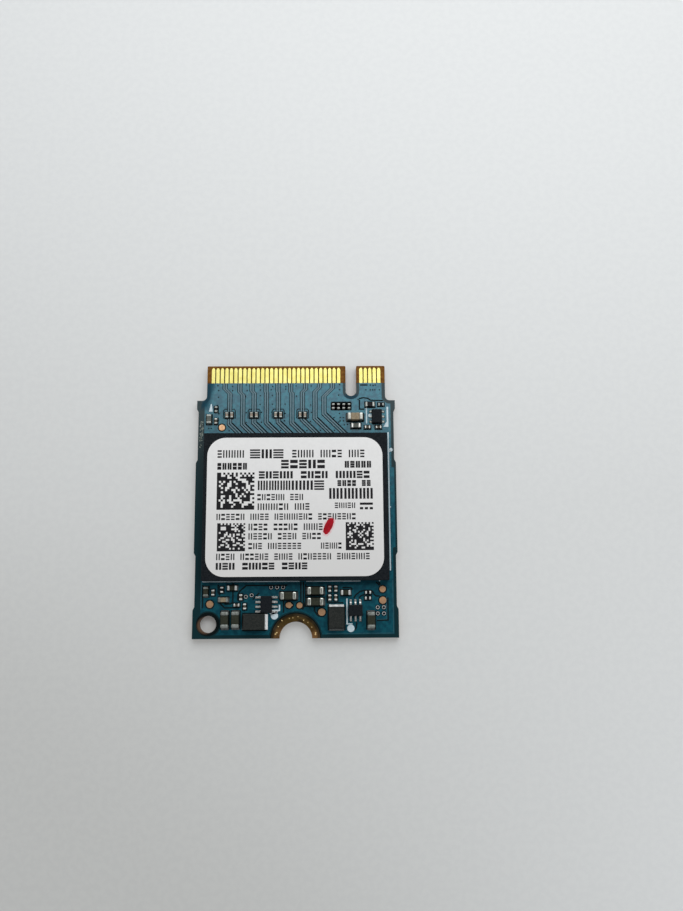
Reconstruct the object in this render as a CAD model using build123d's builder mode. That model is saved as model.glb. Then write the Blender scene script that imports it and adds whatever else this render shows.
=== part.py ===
"""A 22 x 30 mm solid-state drive card with a gold edge connector and parts on one side.

The origin is at the centre of the underside. +Y points to the edge connector and +Z out of the
component side. All sizes are in millimetres. Places on the card are counted across it from the
centre line, and along it from the nearer edge of the memory package.
"""

import os

from build123d import *

# Card stack
CARD_THICKNESS = 0.8
MASK_THICKNESS = 0.04

# Card outline, along the card from the screw end to the tip of the tongue
POWER_ZONE = 6.05
PACKAGE_LENGTH = 16.0
HOST_ZONE = 3.95
TONGUE_LENGTH = 4.0
SHOULDER_WIDTH = 1.075
SHOULDER_FILLET = 0.5
TIP_FILLET = 0.15
TIP_BEVEL = 0.05

# Recesses that the router leaves along both sides
RECESS_LENGTH = 6.1
RECESS_DEPTH = 0.18
RECESS_SLOPE = 0.35
UPPER_RECESS_DROP = 0.95
LOWER_RECESS_RISE = 3.0

# Edge connector: odd pins lie on the component side and even pins on the underside
PIN_COUNT = 75
PIN_STEP = 0.25
KEY_FIRST_PIN = 59
KEY_LAST_PIN = 66
KEY_WIDTH = 1.2
KEY_DEPTH = 3.5
TONGUE_MARGIN = 0.675
FINGER_WIDTH = 0.38
FINGER_LENGTH = 1.76
FINGER_TIP_GAP = 0.24
FINGER_TAPER = 0.2
FINGER_POINT = 0.16
FINGER_THICKNESS = 0.035

# Screw notch in the end and tooling hole in the corner
NOTCH_RADIUS = 1.75
NOTCH_LAND_RADIUS = 2.6
TOOLING_RADIUS = 0.9
TOOLING_FROM_SIDE = 1.65
TOOLING_FROM_END = 1.53
TOOLING_RELIEF = 0.35

# Memory package and its label
PACKAGE_WIDTH = 20.0
BALL_HEIGHT = 0.22
BALL_DIAMETER = 0.45
BALL_PITCH = 1.27
BALL_COLUMNS = 14
BALL_ROWS = 11
BALL_RINGS = 2
BALL_SIDES = 6
SUBSTRATE_THICKNESS = 0.2
MOULD_THICKNESS = 0.83
LABEL_WIDTH = 19.2
LABEL_LENGTH = 15.1
LABEL_THICKNESS = 0.06
LABEL_CORNER = 1.75
LABEL_SHIFT = -0.07

# Chip parts: length, width, height and the length of each metal end
BULK_LENGTH = 1.7
BULK_WIDTH = 0.8
BULK_HEIGHT = 0.8
BULK_END = 0.4
FILTER_LENGTH = 1.0
FILTER_WIDTH = 0.5
FILTER_HEIGHT = 0.5
FILTER_END = 0.22
SMALL_LENGTH = 0.6
SMALL_WIDTH = 0.3
SMALL_HEIGHT = 0.3
SMALL_END = 0.16
RESISTOR_HEIGHT = 0.24
STRAP_HEIGHT = 0.35
END_LIP = 0.015
SOLDER_REACH = 0.25
SOLDER_RISE = 0.2
PAIR_SPACING = 0.54

# Moulded inductors
INDUCTOR_LENGTH = 2.2
INDUCTOR_WIDTH = 1.65
INDUCTOR_HEIGHT = 1.0
INDUCTOR_CORNER = 0.06
TERMINAL_THICKNESS = 0.1
TERMINAL_WIDTH = 1.6
TERMINAL_HEIGHT = 0.75

# Leaded parts
LEAD_THICKNESS = 0.1
LEAD_WIDTH = 0.2
LEAD_SHOULDER = 0.1
BODY_STANDOFF = 0.05
BODY_DRAFT = 7.0
REGULATOR_WIDTH = 1.2
REGULATOR_LENGTH = 1.8
REGULATOR_HEIGHT = 0.7
REGULATOR_REACH = 0.58
REGULATOR_PITCH = 0.5
REGULATOR_LEADS_PER_SIDE = 4
SWITCH_WIDTH = 1.15
SWITCH_LENGTH = 1.5
SWITCH_HEIGHT = 0.6
SWITCH_REACH = 0.57
SWITCH_PITCH = 0.51
SWITCH_LEADS_PER_SIDE = 3
MONITOR_WIDTH = 1.15
MONITOR_LENGTH = 1.65
MONITOR_HEIGHT = 0.55
MONITOR_REACH = 0.24
MONITOR_PITCH = 0.58
MONITOR_LEADS_PER_SIDE = 3

# Bare copper on the component side
TEAR_RADIUS = 0.34
TEAR_POINT = 0.5
VIA_RADIUS = 0.2
VIA_HOLE_RADIUS = 0.1
VIA_SIDES = 8
LAND_CLEARANCE = 0.1

# Worked out from the sizes above
CARD_LENGTH = POWER_ZONE + PACKAGE_LENGTH + HOST_ZONE + TONGUE_LENGTH
TONGUE_WIDTH = (PIN_COUNT - 1) * PIN_STEP + 2 * TONGUE_MARGIN
CARD_WIDTH = TONGUE_WIDTH + 2 * SHOULDER_WIDTH
END_Y = -CARD_LENGTH / 2
TIP_Y = CARD_LENGTH / 2
SHOULDER_Y = TIP_Y - TONGUE_LENGTH
PACKAGE_LOW_Y = END_Y + POWER_ZONE
PACKAGE_HIGH_Y = PACKAGE_LOW_Y + PACKAGE_LENGTH
PACKAGE_Y = (PACKAGE_LOW_Y + PACKAGE_HIGH_Y) / 2
FINGER_TIP_Y = TIP_Y - FINGER_TIP_GAP
MASK_EDGE_Y = FINGER_TIP_Y - FINGER_LENGTH
LAMINATE_TOP = CARD_THICKNESS - MASK_THICKNESS
LAMINATE_THICKNESS = CARD_THICKNESS - 2 * MASK_THICKNESS
TOOLING_SPOT = (TOOLING_FROM_SIDE - CARD_WIDTH / 2, END_Y + TOOLING_FROM_END)
SUBSTRATE_BASE = CARD_THICKNESS + BALL_HEIGHT
MOULD_BASE = SUBSTRATE_BASE + SUBSTRATE_THICKNESS
LABEL_BASE = MOULD_BASE + MOULD_THICKNESS


def pin_x(pin):
    """Where a contact pin lies across the card."""
    return (pin - (PIN_COUNT + 1) / 2) * PIN_STEP


def host_spot(x, above, turn=0):
    """A place on the card between the package and the connector."""
    return Location((x, PACKAGE_HIGH_Y + above, 0), turn)


def power_spot(x, below, turn=0):
    """A place on the card between the package and the screw end."""
    return Location((x, PACKAGE_LOW_Y - below, 0), turn)


def save(part, name):
    """Label one finished piece and write it."""
    part.label = name
    export_step(part, f"parts/{name}.step")


os.makedirs("parts", exist_ok=True)

# Test points as place and radius, and via rings as places
TEST_POINTS = [
    (host_spot(-8.21, 0.89), 0.37),
    (power_spot(-9.17, 2.42), 0.41),
    (power_spot(0.41, 2.60), 0.34),
    (power_spot(2.78, 3.32), 0.42),
    (power_spot(9.32, 0.93), 0.37),
    (power_spot(9.32, 2.11), 0.41),
]
TEAR_SPOT = power_spot(-0.77, 2.56)
VIA_SPOTS = [
    power_spot(-2.65, 0.67),
    power_spot(-2.00, 0.67),
    power_spot(-1.36, 0.67),
    power_spot(-5.34, 1.65),
    power_spot(-4.72, 1.49),
    power_spot(8.77, 2.85),
    power_spot(9.42, 2.85),
    power_spot(8.77, 3.50),
    power_spot(9.42, 3.50),
]

# Card outline, seen from the component side
key_x = (pin_x(KEY_FIRST_PIN) + pin_x(KEY_LAST_PIN)) / 2
key_floor_y = TIP_Y - KEY_DEPTH
recess_middles = (
    SHOULDER_Y - UPPER_RECESS_DROP - RECESS_LENGTH / 2,
    END_Y + LOWER_RECESS_RISE + RECESS_LENGTH / 2,
)
with BuildSketch() as card_outline:
    with Locations((0, (END_Y + SHOULDER_Y) / 2)):
        Rectangle(CARD_WIDTH, SHOULDER_Y - END_Y)
    with Locations((0, (SHOULDER_Y + TIP_Y) / 2)):
        Rectangle(TONGUE_WIDTH, TONGUE_LENGTH)
    shoulder_line = card_outline.vertices().group_by(Axis.Y)[-2]
    fillet(shoulder_line.sort_by(Axis.X)[1:-1], SHOULDER_FILLET)
    with Locations((key_x, key_floor_y + KEY_WIDTH / 2)):
        Circle(KEY_WIDTH / 2, mode=Mode.SUBTRACT)
        Rectangle(
            KEY_WIDTH,
            KEY_DEPTH - KEY_WIDTH / 2,
            align=(Align.CENTER, Align.MIN),
            mode=Mode.SUBTRACT,
        )
    fillet(card_outline.vertices().group_by(Axis.Y)[-1], TIP_FILLET)
    for side in (-1, 1):
        for middle in recess_middles:
            edge_x = side * CARD_WIDTH / 2
            inner_x = edge_x - side * RECESS_DEPTH
            half = RECESS_LENGTH / 2
            with BuildLine():
                Polyline(
                    (edge_x, middle - half),
                    (inner_x, middle - half + RECESS_SLOPE),
                    (inner_x, middle + half - RECESS_SLOPE),
                    (edge_x, middle + half),
                    close=True,
                )
            make_face(mode=Mode.SUBTRACT)

with BuildPart() as laminate:
    with BuildSketch(Plane.XY.offset(MASK_THICKNESS)):
        add(card_outline.sketch)
        with Locations((0, END_Y)):
            Circle(NOTCH_RADIUS, mode=Mode.SUBTRACT)
        with Locations(TOOLING_SPOT):
            Circle(TOOLING_RADIUS, mode=Mode.SUBTRACT)
    extrude(amount=LAMINATE_THICKNESS)
    with BuildSketch(Plane.YZ):
        for face, inside in ((LAMINATE_TOP, -TIP_BEVEL), (MASK_THICKNESS, TIP_BEVEL)):
            with BuildLine():
                Polyline(
                    (TIP_Y - TIP_BEVEL, face), (TIP_Y, face), (TIP_Y, face + inside), close=True
                )
            make_face()
    extrude(amount=TONGUE_WIDTH / 2, both=True, mode=Mode.SUBTRACT)
save(laminate.part, "laminate")


def mask(name, base, bare):
    """Write one layer of solder mask, open over the fingers, the notch, the hole and bare lands."""
    with BuildPart() as layer:
        with BuildSketch(Plane.XY.offset(base)):
            add(card_outline.sketch)
            with Locations((0, MASK_EDGE_Y)):
                Rectangle(
                    CARD_WIDTH,
                    TIP_Y - MASK_EDGE_Y,
                    align=(Align.CENTER, Align.MIN),
                    mode=Mode.SUBTRACT,
                )
            with Locations((0, END_Y)):
                Circle(NOTCH_LAND_RADIUS + LAND_CLEARANCE, mode=Mode.SUBTRACT)
            with Locations(TOOLING_SPOT):
                Circle(TOOLING_RADIUS + TOOLING_RELIEF, mode=Mode.SUBTRACT)
            if bare:
                add(bare, mode=Mode.SUBTRACT)
        extrude(amount=MASK_THICKNESS)
    save(layer.part, name)


def lands(grow):
    """The outlines of the test points, grown by a clearance for the opening round them."""
    with BuildSketch() as outline:
        for spot, radius in TEST_POINTS:
            with Locations(spot):
                Circle(radius + grow)
        with Locations(TEAR_SPOT):
            Circle(TEAR_RADIUS + grow)
            Polygon(
                (0, TEAR_RADIUS + grow),
                (0, -TEAR_RADIUS - grow),
                (TEAR_POINT + grow, 0),
                align=None,
            )
    return outline.sketch


with BuildSketch() as bare_copper:
    add(lands(LAND_CLEARANCE))
    with Locations(*VIA_SPOTS):
        RegularPolygon(VIA_RADIUS + LAND_CLEARANCE, VIA_SIDES)

mask("solder_mask_top", LAMINATE_TOP, bare_copper.sketch)
mask("solder_mask_bottom", 0, None)

with BuildPart() as test_points:
    with BuildSketch(Plane.XY.offset(LAMINATE_TOP)):
        add(lands(0))
    extrude(amount=MASK_THICKNESS)
save(test_points.part, "test_points")

with BuildPart() as via_rings:
    with BuildSketch(Plane.XY.offset(LAMINATE_TOP)):
        with Locations(*VIA_SPOTS):
            RegularPolygon(VIA_RADIUS, VIA_SIDES)
            RegularPolygon(VIA_HOLE_RADIUS, VIA_SIDES, mode=Mode.SUBTRACT)
    extrude(amount=MASK_THICKNESS)
save(via_rings.part, "via_rings")


def fingers(name, first_pin, base):
    """Write every second contact finger, from the first pin on, leaving out those of the key."""
    pins = range(first_pin, PIN_COUNT + 1, 2)
    keyed = range(KEY_FIRST_PIN, KEY_LAST_PIN + 1)
    spots = [(pin_x(pin), FINGER_TIP_Y) for pin in pins if pin not in keyed]
    half = FINGER_WIDTH / 2
    with BuildPart() as row:
        with BuildSketch(Plane.XY.offset(base)):
            with Locations(*spots):
                Polygon(
                    (-half, -FINGER_LENGTH),
                    (half, -FINGER_LENGTH),
                    (half, -FINGER_TAPER),
                    (FINGER_POINT / 2, 0),
                    (-FINGER_POINT / 2, 0),
                    (-half, -FINGER_TAPER),
                    align=None,
                )
        extrude(amount=FINGER_THICKNESS)
    save(row.part, name)


fingers("contact_fingers_top", 1, LAMINATE_TOP)
fingers("contact_fingers_bottom", 2, MASK_THICKNESS - FINGER_THICKNESS)

# Plated screw notch: a half-round land on each face of the laminate
with BuildPart() as notch_plating:
    for base in (0, LAMINATE_TOP):
        with BuildSketch(Plane.XY.offset(base)):
            with Locations((0, END_Y)):
                Circle(NOTCH_LAND_RADIUS)
                Circle(NOTCH_RADIUS, mode=Mode.SUBTRACT)
                Rectangle(
                    2 * NOTCH_LAND_RADIUS,
                    NOTCH_LAND_RADIUS,
                    align=(Align.CENTER, Align.MAX),
                    mode=Mode.SUBTRACT,
                )
        extrude(amount=MASK_THICKNESS)
save(notch_plating.part, "notch_plating")

# Memory package: two rings of solder balls, the substrate, the mould cap and the label
with BuildPart() as package_balls:
    with BuildSketch(Plane.XY.offset(CARD_THICKNESS)):
        with Locations((0, PACKAGE_Y)):
            with GridLocations(BALL_PITCH, BALL_PITCH, BALL_COLUMNS, BALL_ROWS):
                RegularPolygon(BALL_DIAMETER / 2, BALL_SIDES)
            inner_columns = BALL_COLUMNS - 2 * BALL_RINGS
            inner_rows = BALL_ROWS - 2 * BALL_RINGS
            Rectangle(inner_columns * BALL_PITCH, inner_rows * BALL_PITCH, mode=Mode.SUBTRACT)
    extrude(amount=BALL_HEIGHT)
save(package_balls.part, "package_balls")

with BuildPart() as package_substrate:
    with BuildSketch(Plane.XY.offset(SUBSTRATE_BASE)):
        with Locations((0, PACKAGE_Y)):
            Rectangle(PACKAGE_WIDTH, PACKAGE_LENGTH)
    extrude(amount=SUBSTRATE_THICKNESS)
save(package_substrate.part, "package_substrate")

with BuildPart() as package_mould:
    with BuildSketch(Plane.XY.offset(MOULD_BASE)):
        with Locations((0, PACKAGE_Y)):
            Rectangle(PACKAGE_WIDTH, PACKAGE_LENGTH)
    extrude(amount=MOULD_THICKNESS)
save(package_mould.part, "package_mould")

with BuildPart() as label:
    with BuildSketch(Plane.XY.offset(LABEL_BASE)):
        with Locations((LABEL_SHIFT, PACKAGE_Y)):
            RectangleRounded(LABEL_WIDTH, LABEL_LENGTH, LABEL_CORNER)
    extrude(amount=LABEL_THICKNESS)
save(label.part, "label")

# Beads of solder, gathered from the parts below as one bead and the places where it lies
solder_beads = []


def add_solder(places, length, width, rise):
    """Note a wedge of solder at both ends of a part at each of its places."""
    reach = SOLDER_REACH * min(1, rise)
    with BuildPart() as bead:
        with BuildSketch(Plane.XZ):
            with BuildLine():
                Polyline(
                    (0, CARD_THICKNESS),
                    (reach, CARD_THICKNESS),
                    (0, CARD_THICKNESS + rise * SOLDER_RISE),
                    close=True,
                )
            make_face()
        extrude(amount=width / 2, both=True)
    near, far = Location((length / 2, 0, 0)), Location((-length / 2, 0, 0), 180)
    spots = [place * end for place in places for end in (near, far)]
    solder_beads.append((bead.part, spots))


def chip(body_name, ends_name, places, length, width, height, end):
    """Write the bodies and the metal ends of like chip parts that stand on the card."""
    with BuildPart() as bodies:
        with BuildSketch(Plane.XY.offset(CARD_THICKNESS)):
            with Locations(*places):
                Rectangle(length - 2 * end, width - 2 * END_LIP)
        extrude(amount=height - END_LIP)
    save(bodies.part, body_name)
    with BuildPart() as ends:
        with BuildSketch(Plane.XY.offset(CARD_THICKNESS)):
            with Locations(*places):
                with Locations(((length - end) / 2, 0), ((end - length) / 2, 0)):
                    Rectangle(end, width)
        extrude(amount=height)
    save(ends.part, ends_name)
    add_solder(places, length, width, height)


# Bulk capacitors
BULK_SPOTS = [
    host_spot(6.55, 1.98),
    power_spot(-0.77, 1.58),
    power_spot(2.11, 1.08),
    power_spot(2.11, 2.23),
    power_spot(-7.53, 4.08, 90),
    power_spot(-6.39, 4.06, 90),
    power_spot(8.03, 4.20, 90),
]
for number, spot in enumerate(BULK_SPOTS, start=1):
    name = f"bulk_capacitor_{number}"
    chip(
        f"{name}_body", f"{name}_ends", [spot], BULK_LENGTH, BULK_WIDTH, BULK_HEIGHT, BULK_END
    )

# Filter capacitors
FILTER_SPOTS = [
    host_spot(-9.62, 1.78, 90),
    host_spot(6.62, 1.00),
    power_spot(-9.59, 1.09, 90),
    power_spot(-6.78, 0.72),
    power_spot(-7.71, 1.96),
    power_spot(5.35, 1.28),
]
for number, spot in enumerate(FILTER_SPOTS, start=1):
    name = f"filter_capacitor_{number}"
    chip(
        f"{name}_body",
        f"{name}_ends",
        [spot],
        FILTER_LENGTH,
        FILTER_WIDTH,
        FILTER_HEIGHT,
        FILTER_END,
    )

# Coupling capacitors, in pairs on the signal lines behind the fingers
PAIR_MIDDLES = (-7.40, -4.67, -1.99, 0.72)
PAIR_ABOVE = 2.27
coupling_spots = [
    host_spot(middle + side * PAIR_SPACING / 2, PAIR_ABOVE, 90)
    for middle in PAIR_MIDDLES
    for side in (-1, 1)
]
chip(
    "coupling_capacitor_bodies",
    "coupling_capacitor_ends",
    coupling_spots,
    SMALL_LENGTH,
    SMALL_WIDTH,
    SMALL_HEIGHT,
    SMALL_END,
)

# Small capacitors
SMALL_CAPACITOR_SPOTS = [
    host_spot(-8.86, 1.58, 90),
    host_spot(7.91, 0.84),
    host_spot(9.13, 0.84),
    power_spot(-8.84, 1.19, 90),
    power_spot(-5.86, 1.70, 90),
    power_spot(-6.30, 2.53),
    power_spot(-5.44, 2.68, 90),
    power_spot(3.64, 0.86, 90),
    power_spot(4.29, 0.86, 90),
    power_spot(3.64, 1.80, 90),
    power_spot(4.29, 1.80, 90),
]
chip(
    "small_capacitor_bodies",
    "small_capacitor_ends",
    SMALL_CAPACITOR_SPOTS,
    SMALL_LENGTH,
    SMALL_WIDTH,
    SMALL_HEIGHT,
    SMALL_END,
)

# Resistors
SMALL_RESISTOR_SPOTS = [
    host_spot(-8.87, 2.94, 90),
    host_spot(4.13, 3.24, 90),
    host_spot(4.71, 3.24, 90),
    host_spot(5.30, 3.24, 90),
    host_spot(5.89, 3.24, 90),
    host_spot(9.45, 3.43),
    power_spot(-7.90, 0.89, 90),
    power_spot(7.75, 1.27),
    power_spot(7.72, 1.87),
]
chip(
    "small_resistor_bodies",
    "small_resistor_ends",
    SMALL_RESISTOR_SPOTS,
    SMALL_LENGTH,
    SMALL_WIDTH,
    RESISTOR_HEIGHT,
    SMALL_END,
)
chip(
    "strap_resistor_body",
    "strap_resistor_ends",
    [host_spot(8.21, 3.43)],
    FILTER_LENGTH,
    FILTER_WIDTH,
    STRAP_HEIGHT,
    FILTER_END,
)


def inductor(name, spot):
    """Write a moulded inductor: a core with rounded corners and a metal plate on each end."""
    with BuildPart() as core:
        with BuildSketch(Plane.XY.offset(CARD_THICKNESS)):
            with Locations(spot):
                Rectangle(INDUCTOR_LENGTH, INDUCTOR_WIDTH)
        extrude(amount=INDUCTOR_HEIGHT)
        chamfer(core.edges().filter_by(Axis.Z), INDUCTOR_CORNER)
    save(core.part, f"{name}_core")
    reach = (INDUCTOR_LENGTH + TERMINAL_THICKNESS) / 2
    with BuildPart() as terminals:
        with BuildSketch(Plane.XY.offset(CARD_THICKNESS)):
            with Locations(spot):
                with Locations((reach, 0), (-reach, 0)):
                    Rectangle(TERMINAL_THICKNESS, TERMINAL_WIDTH)
        extrude(amount=TERMINAL_HEIGHT)
    save(terminals.part, f"{name}_terminals")
    overall = INDUCTOR_LENGTH + 2 * TERMINAL_THICKNESS
    add_solder([spot], overall, TERMINAL_WIDTH, TERMINAL_HEIGHT)


inductor("input_inductor", power_spot(-4.36, 4.30))
inductor("output_inductor", power_spot(4.35, 3.89, 90))


def lead_rows(name, lead, spot, pitch, per_side):
    """Write two facing rows of one lead, which runs out along +X from the middle of the part."""
    with BuildPart() as leads:
        with Locations(spot):
            with GridLocations(0, pitch, 1, per_side):
                with Locations(Location((0, 0, 0)), Location((0, 0, 0), 180)):
                    add(lead)
    save(leads.part, name)


def gull_wing_part(name, spot, width, length, height, reach, pitch, per_side):
    """Write a moulded body, drafted both ways from its middle, and its bent leads."""
    middle = CARD_THICKNESS + BODY_STANDOFF + height / 2
    with BuildPart() as body:
        for half in (height / 2, -height / 2):
            with BuildSketch(Plane.XY.offset(middle)):
                with Locations(spot):
                    Rectangle(width, length)
            extrude(amount=half, taper=BODY_DRAFT)
    save(body.part, f"{name}_body")

    low, high = middle - LEAD_THICKNESS / 2, middle + LEAD_THICKNESS / 2
    foot_top = CARD_THICKNESS + LEAD_THICKNESS
    root, toe = width / 2, width / 2 + reach
    knee = root + LEAD_SHOULDER
    with BuildPart() as lead:
        with BuildSketch(Plane.XZ):
            with BuildLine():
                Polyline(
                    (root, low),
                    (knee, low),
                    (knee + LEAD_THICKNESS, CARD_THICKNESS),
                    (toe, CARD_THICKNESS),
                    (toe, foot_top),
                    (knee + 2 * LEAD_THICKNESS, foot_top),
                    (knee + LEAD_THICKNESS, high),
                    (root, high),
                    close=True,
                )
            make_face()
        extrude(amount=LEAD_WIDTH / 2, both=True)
    lead_rows(f"{name}_leads", lead.part, spot, pitch, per_side)


def flat_lead_part(name, spot, width, length, height, reach, pitch, per_side):
    """Write a moulded body that lies on the card, with flat leads along its foot."""
    with BuildPart() as body:
        with BuildSketch(Plane.XY.offset(CARD_THICKNESS)):
            with Locations(spot):
                Rectangle(width, length)
        extrude(amount=height, taper=BODY_DRAFT)
    save(body.part, f"{name}_body")

    with BuildPart() as lead:
        with BuildSketch(Plane.XY.offset(CARD_THICKNESS)):
            with Locations((width / 2, 0)):
                Rectangle(reach, LEAD_WIDTH, align=(Align.MIN, Align.CENTER))
        extrude(amount=LEAD_THICKNESS)
    lead_rows(f"{name}_leads", lead.part, spot, pitch, per_side)


gull_wing_part(
    "regulator",
    power_spot(-3.12, 2.48),
    REGULATOR_WIDTH,
    REGULATOR_LENGTH,
    REGULATOR_HEIGHT,
    REGULATOR_REACH,
    REGULATOR_PITCH,
    REGULATOR_LEADS_PER_SIDE,
)
gull_wing_part(
    "power_switch",
    power_spot(6.38, 3.16, 90),
    SWITCH_WIDTH,
    SWITCH_LENGTH,
    SWITCH_HEIGHT,
    SWITCH_REACH,
    SWITCH_PITCH,
    SWITCH_LEADS_PER_SIDE,
)
flat_lead_part(
    "supply_monitor",
    host_spot(8.97, 2.05),
    MONITOR_WIDTH,
    MONITOR_LENGTH,
    MONITOR_HEIGHT,
    MONITOR_REACH,
    MONITOR_PITCH,
    MONITOR_LEADS_PER_SIDE,
)

with BuildPart() as solder_fillets:
    for bead, spots in solder_beads:
        with Locations(*spots):
            add(bead)
save(solder_fillets.part, "solder_fillets")
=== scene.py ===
# %% [markdown]
# # A solid-state drive card, dressed around its CAD frame
# The card is a small circuit board: a gold edge connector at one end, a half-round screw notch at
# the other, a labelled memory package in the middle and tiny soldered parts around it. The solids come
# from the CAD frame and stay where they are. This lesson gives them their finishes, and adds what is
# too thin to be a solid: copper traces under the lacquer, silk print, label print and small dots.

# %% Load the frame
import math
import random

import bmesh
import bpy
from mathutils import Matrix, Vector


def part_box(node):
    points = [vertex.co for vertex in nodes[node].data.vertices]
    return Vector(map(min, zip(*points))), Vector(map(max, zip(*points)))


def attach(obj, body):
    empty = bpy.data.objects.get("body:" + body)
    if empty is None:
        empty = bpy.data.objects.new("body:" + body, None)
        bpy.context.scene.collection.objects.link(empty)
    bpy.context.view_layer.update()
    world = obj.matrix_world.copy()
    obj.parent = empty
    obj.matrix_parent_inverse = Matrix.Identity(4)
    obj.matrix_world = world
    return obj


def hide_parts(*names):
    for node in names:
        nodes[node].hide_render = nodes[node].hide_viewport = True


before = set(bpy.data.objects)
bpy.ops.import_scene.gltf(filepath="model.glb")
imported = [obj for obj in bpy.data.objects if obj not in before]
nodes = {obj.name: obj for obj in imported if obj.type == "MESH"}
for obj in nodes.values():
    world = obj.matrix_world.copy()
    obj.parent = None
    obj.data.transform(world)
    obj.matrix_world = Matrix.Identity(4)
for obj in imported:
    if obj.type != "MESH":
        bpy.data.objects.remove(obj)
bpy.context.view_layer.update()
MM = 0.001
bpy.context.scene.view_settings.view_transform = "Standard"

# %% [markdown]
# ## Where things are
# Levels and edges are read from the frame, so the looks follow the solids. Copper lines and silk print
# are placed in millimetres from the card's middle, and the label's marks from its upper left corner.
# Thin layers such as lacquer relief and ink are a few micrometres high: enough to be real geometry and
# too little to change the size.

# %% Levels and edges taken from the frame
card_low, card_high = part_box("laminate")
mould_low, mould_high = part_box("package_mould")
label_low, label_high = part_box("label")
CARD_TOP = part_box("solder_mask_top")[1].z / MM
FACE_TOP = card_high.z / MM
LABEL_TOP = label_high.z / MM
LAND_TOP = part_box("notch_plating")[1].z / MM
CARD_END = card_low.y / MM
CARD_SIDE = card_high.x / MM
FINGER_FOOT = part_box("contact_fingers_top")[0].y / MM
PACKAGE_FAR = mould_high.y / MM
PACKAGE_NEAR = mould_low.y / MM
print("lacquer top", round(CARD_TOP, 3), "mm and label top", round(LABEL_TOP, 3), "mm")

# %% [markdown]
# ## Camera
# The photograph looks almost straight down on the card. A camera needs a place, a point to look at and
# a small roll. The card's length is upright in the picture, so it gives the up direction.

# %% Camera
CAMERA_PLACE = Vector((3.38, -13.68, 98.23)) * MM
CAMERA_AIM = Vector((5.01, 4.735, 0.8)) * MM
CAMERA_ROLL = math.radians(-0.432)
CAMERA_LENS = 35.53
UPRIGHT = Vector((0, 1, 0))


def aim(obj, place, target, roll=0.0):
    """Turn an object that looks along its own -Z from a place to a target."""
    back = (place - target).normalized()
    right = UPRIGHT.cross(back).normalized()
    turn = Matrix((right, back.cross(right), back)).transposed().to_4x4()
    obj.matrix_world = Matrix.Translation(place) @ turn @ Matrix.Rotation(roll, 4, "Z")


bpy.ops.object.select_all(action="DESELECT")
bpy.ops.object.camera_add()
camera = bpy.context.object
camera.data.lens = CAMERA_LENS
camera.data.clip_start = MM
aim(camera, CAMERA_PLACE, CAMERA_AIM, CAMERA_ROLL)
bpy.context.scene.camera = camera
print("camera is", round((CAMERA_PLACE - CAMERA_AIM).length / MM, 1), "mm from its aim")

# %% [markdown]
# ## Shared surface effects
# Several finishes need the same effects: a fine grain, and a tarnish on metal. Each is a node group,
# built once. A group reads the object's own coordinates, which are metres in the card's frame, so a
# scale of 4000 gives grains of about a quarter of a millimetre.

# %% Helpers for node trees: groups and colours
NUMBER = "NodeSocketFloat"
COLOUR = "NodeSocketColor"
# A Mix node has its factor and its two colours at these inputs, and the mixed colour at this output
MIX_INPUTS = (0, 6, 7)
MIX_OUTPUT = 2


def new_group(name, inputs, outputs):
    """An empty shader group with named sockets, and its input and output nodes."""
    group = bpy.data.node_groups.new(name, "ShaderNodeTree")
    for in_out, sockets in (("INPUT", inputs), ("OUTPUT", outputs)):
        for title, kind in sockets:
            group.interface.new_socket(title, in_out=in_out, socket_type=kind)
    return group, group.nodes.new("NodeGroupInput"), group.nodes.new("NodeGroupOutput")


def feed(tree, value, socket):
    """Set a socket to a number or a colour of three numbers, or link another socket to it."""
    if isinstance(value, bpy.types.NodeSocket):
        tree.links.new(value, socket)
    else:
        socket.default_value = (*value, 1.0) if isinstance(value, tuple) else value


def layered(tree, colour, layers):
    """Lay colours over a first one, each by its own mask; a colour is three numbers or a socket."""
    for share, other in layers:
        mix = tree.nodes.new("ShaderNodeMix")
        mix.data_type = "RGBA"
        for place, value in zip(MIX_INPUTS, (share, colour, other)):
            feed(tree, value, mix.inputs[place])
        colour = mix.outputs[MIX_OUTPUT]
    return colour


# %% Helpers for node trees: maths, soft steps and noise


def maths(tree, operation, *values):
    """The result of a maths node on one or two values, each a socket or a number."""
    node = tree.nodes.new("ShaderNodeMath")
    node.operation = operation
    for value, socket in zip(values, node.inputs):
        feed(tree, value, socket)
    return node.outputs[0]


def product(tree, first, *others):
    """Several values multiplied, each a socket or a number."""
    for other in others:
        first = maths(tree, "MULTIPLY", first, other)
    return first


def smooth_step(tree, value, low, high, falling=False):
    """0 below low and 1 above high, or the other way round, with a soft edge between."""
    node = tree.nodes.new("ShaderNodeMapRange")
    node.interpolation_type = "SMOOTHSTEP"
    tree.links.new(value, node.inputs["Value"])
    node.inputs["From Min"].default_value = low
    node.inputs["From Max"].default_value = high
    node.inputs["To Min"].default_value = 1.0 if falling else 0.0
    node.inputs["To Max"].default_value = 0.0 if falling else 1.0
    return node.outputs["Result"]


def noise(tree, scale, detail):
    """Noise on the object's coordinates; scale is a number or a socket."""
    where = tree.nodes.new("ShaderNodeTexCoord")
    node = tree.nodes.new("ShaderNodeTexNoise")
    node.inputs["Detail"].default_value = detail
    tree.links.new(where.outputs["Object"], node.inputs["Vector"])
    feed(tree, scale, node.inputs["Scale"])
    return node.outputs["Fac"]


# %% Fine grain: two mingled colours and a height for bump
GRAIN_DETAIL = 3
GRAIN_EDGE = (0.35, 0.65)


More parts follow.
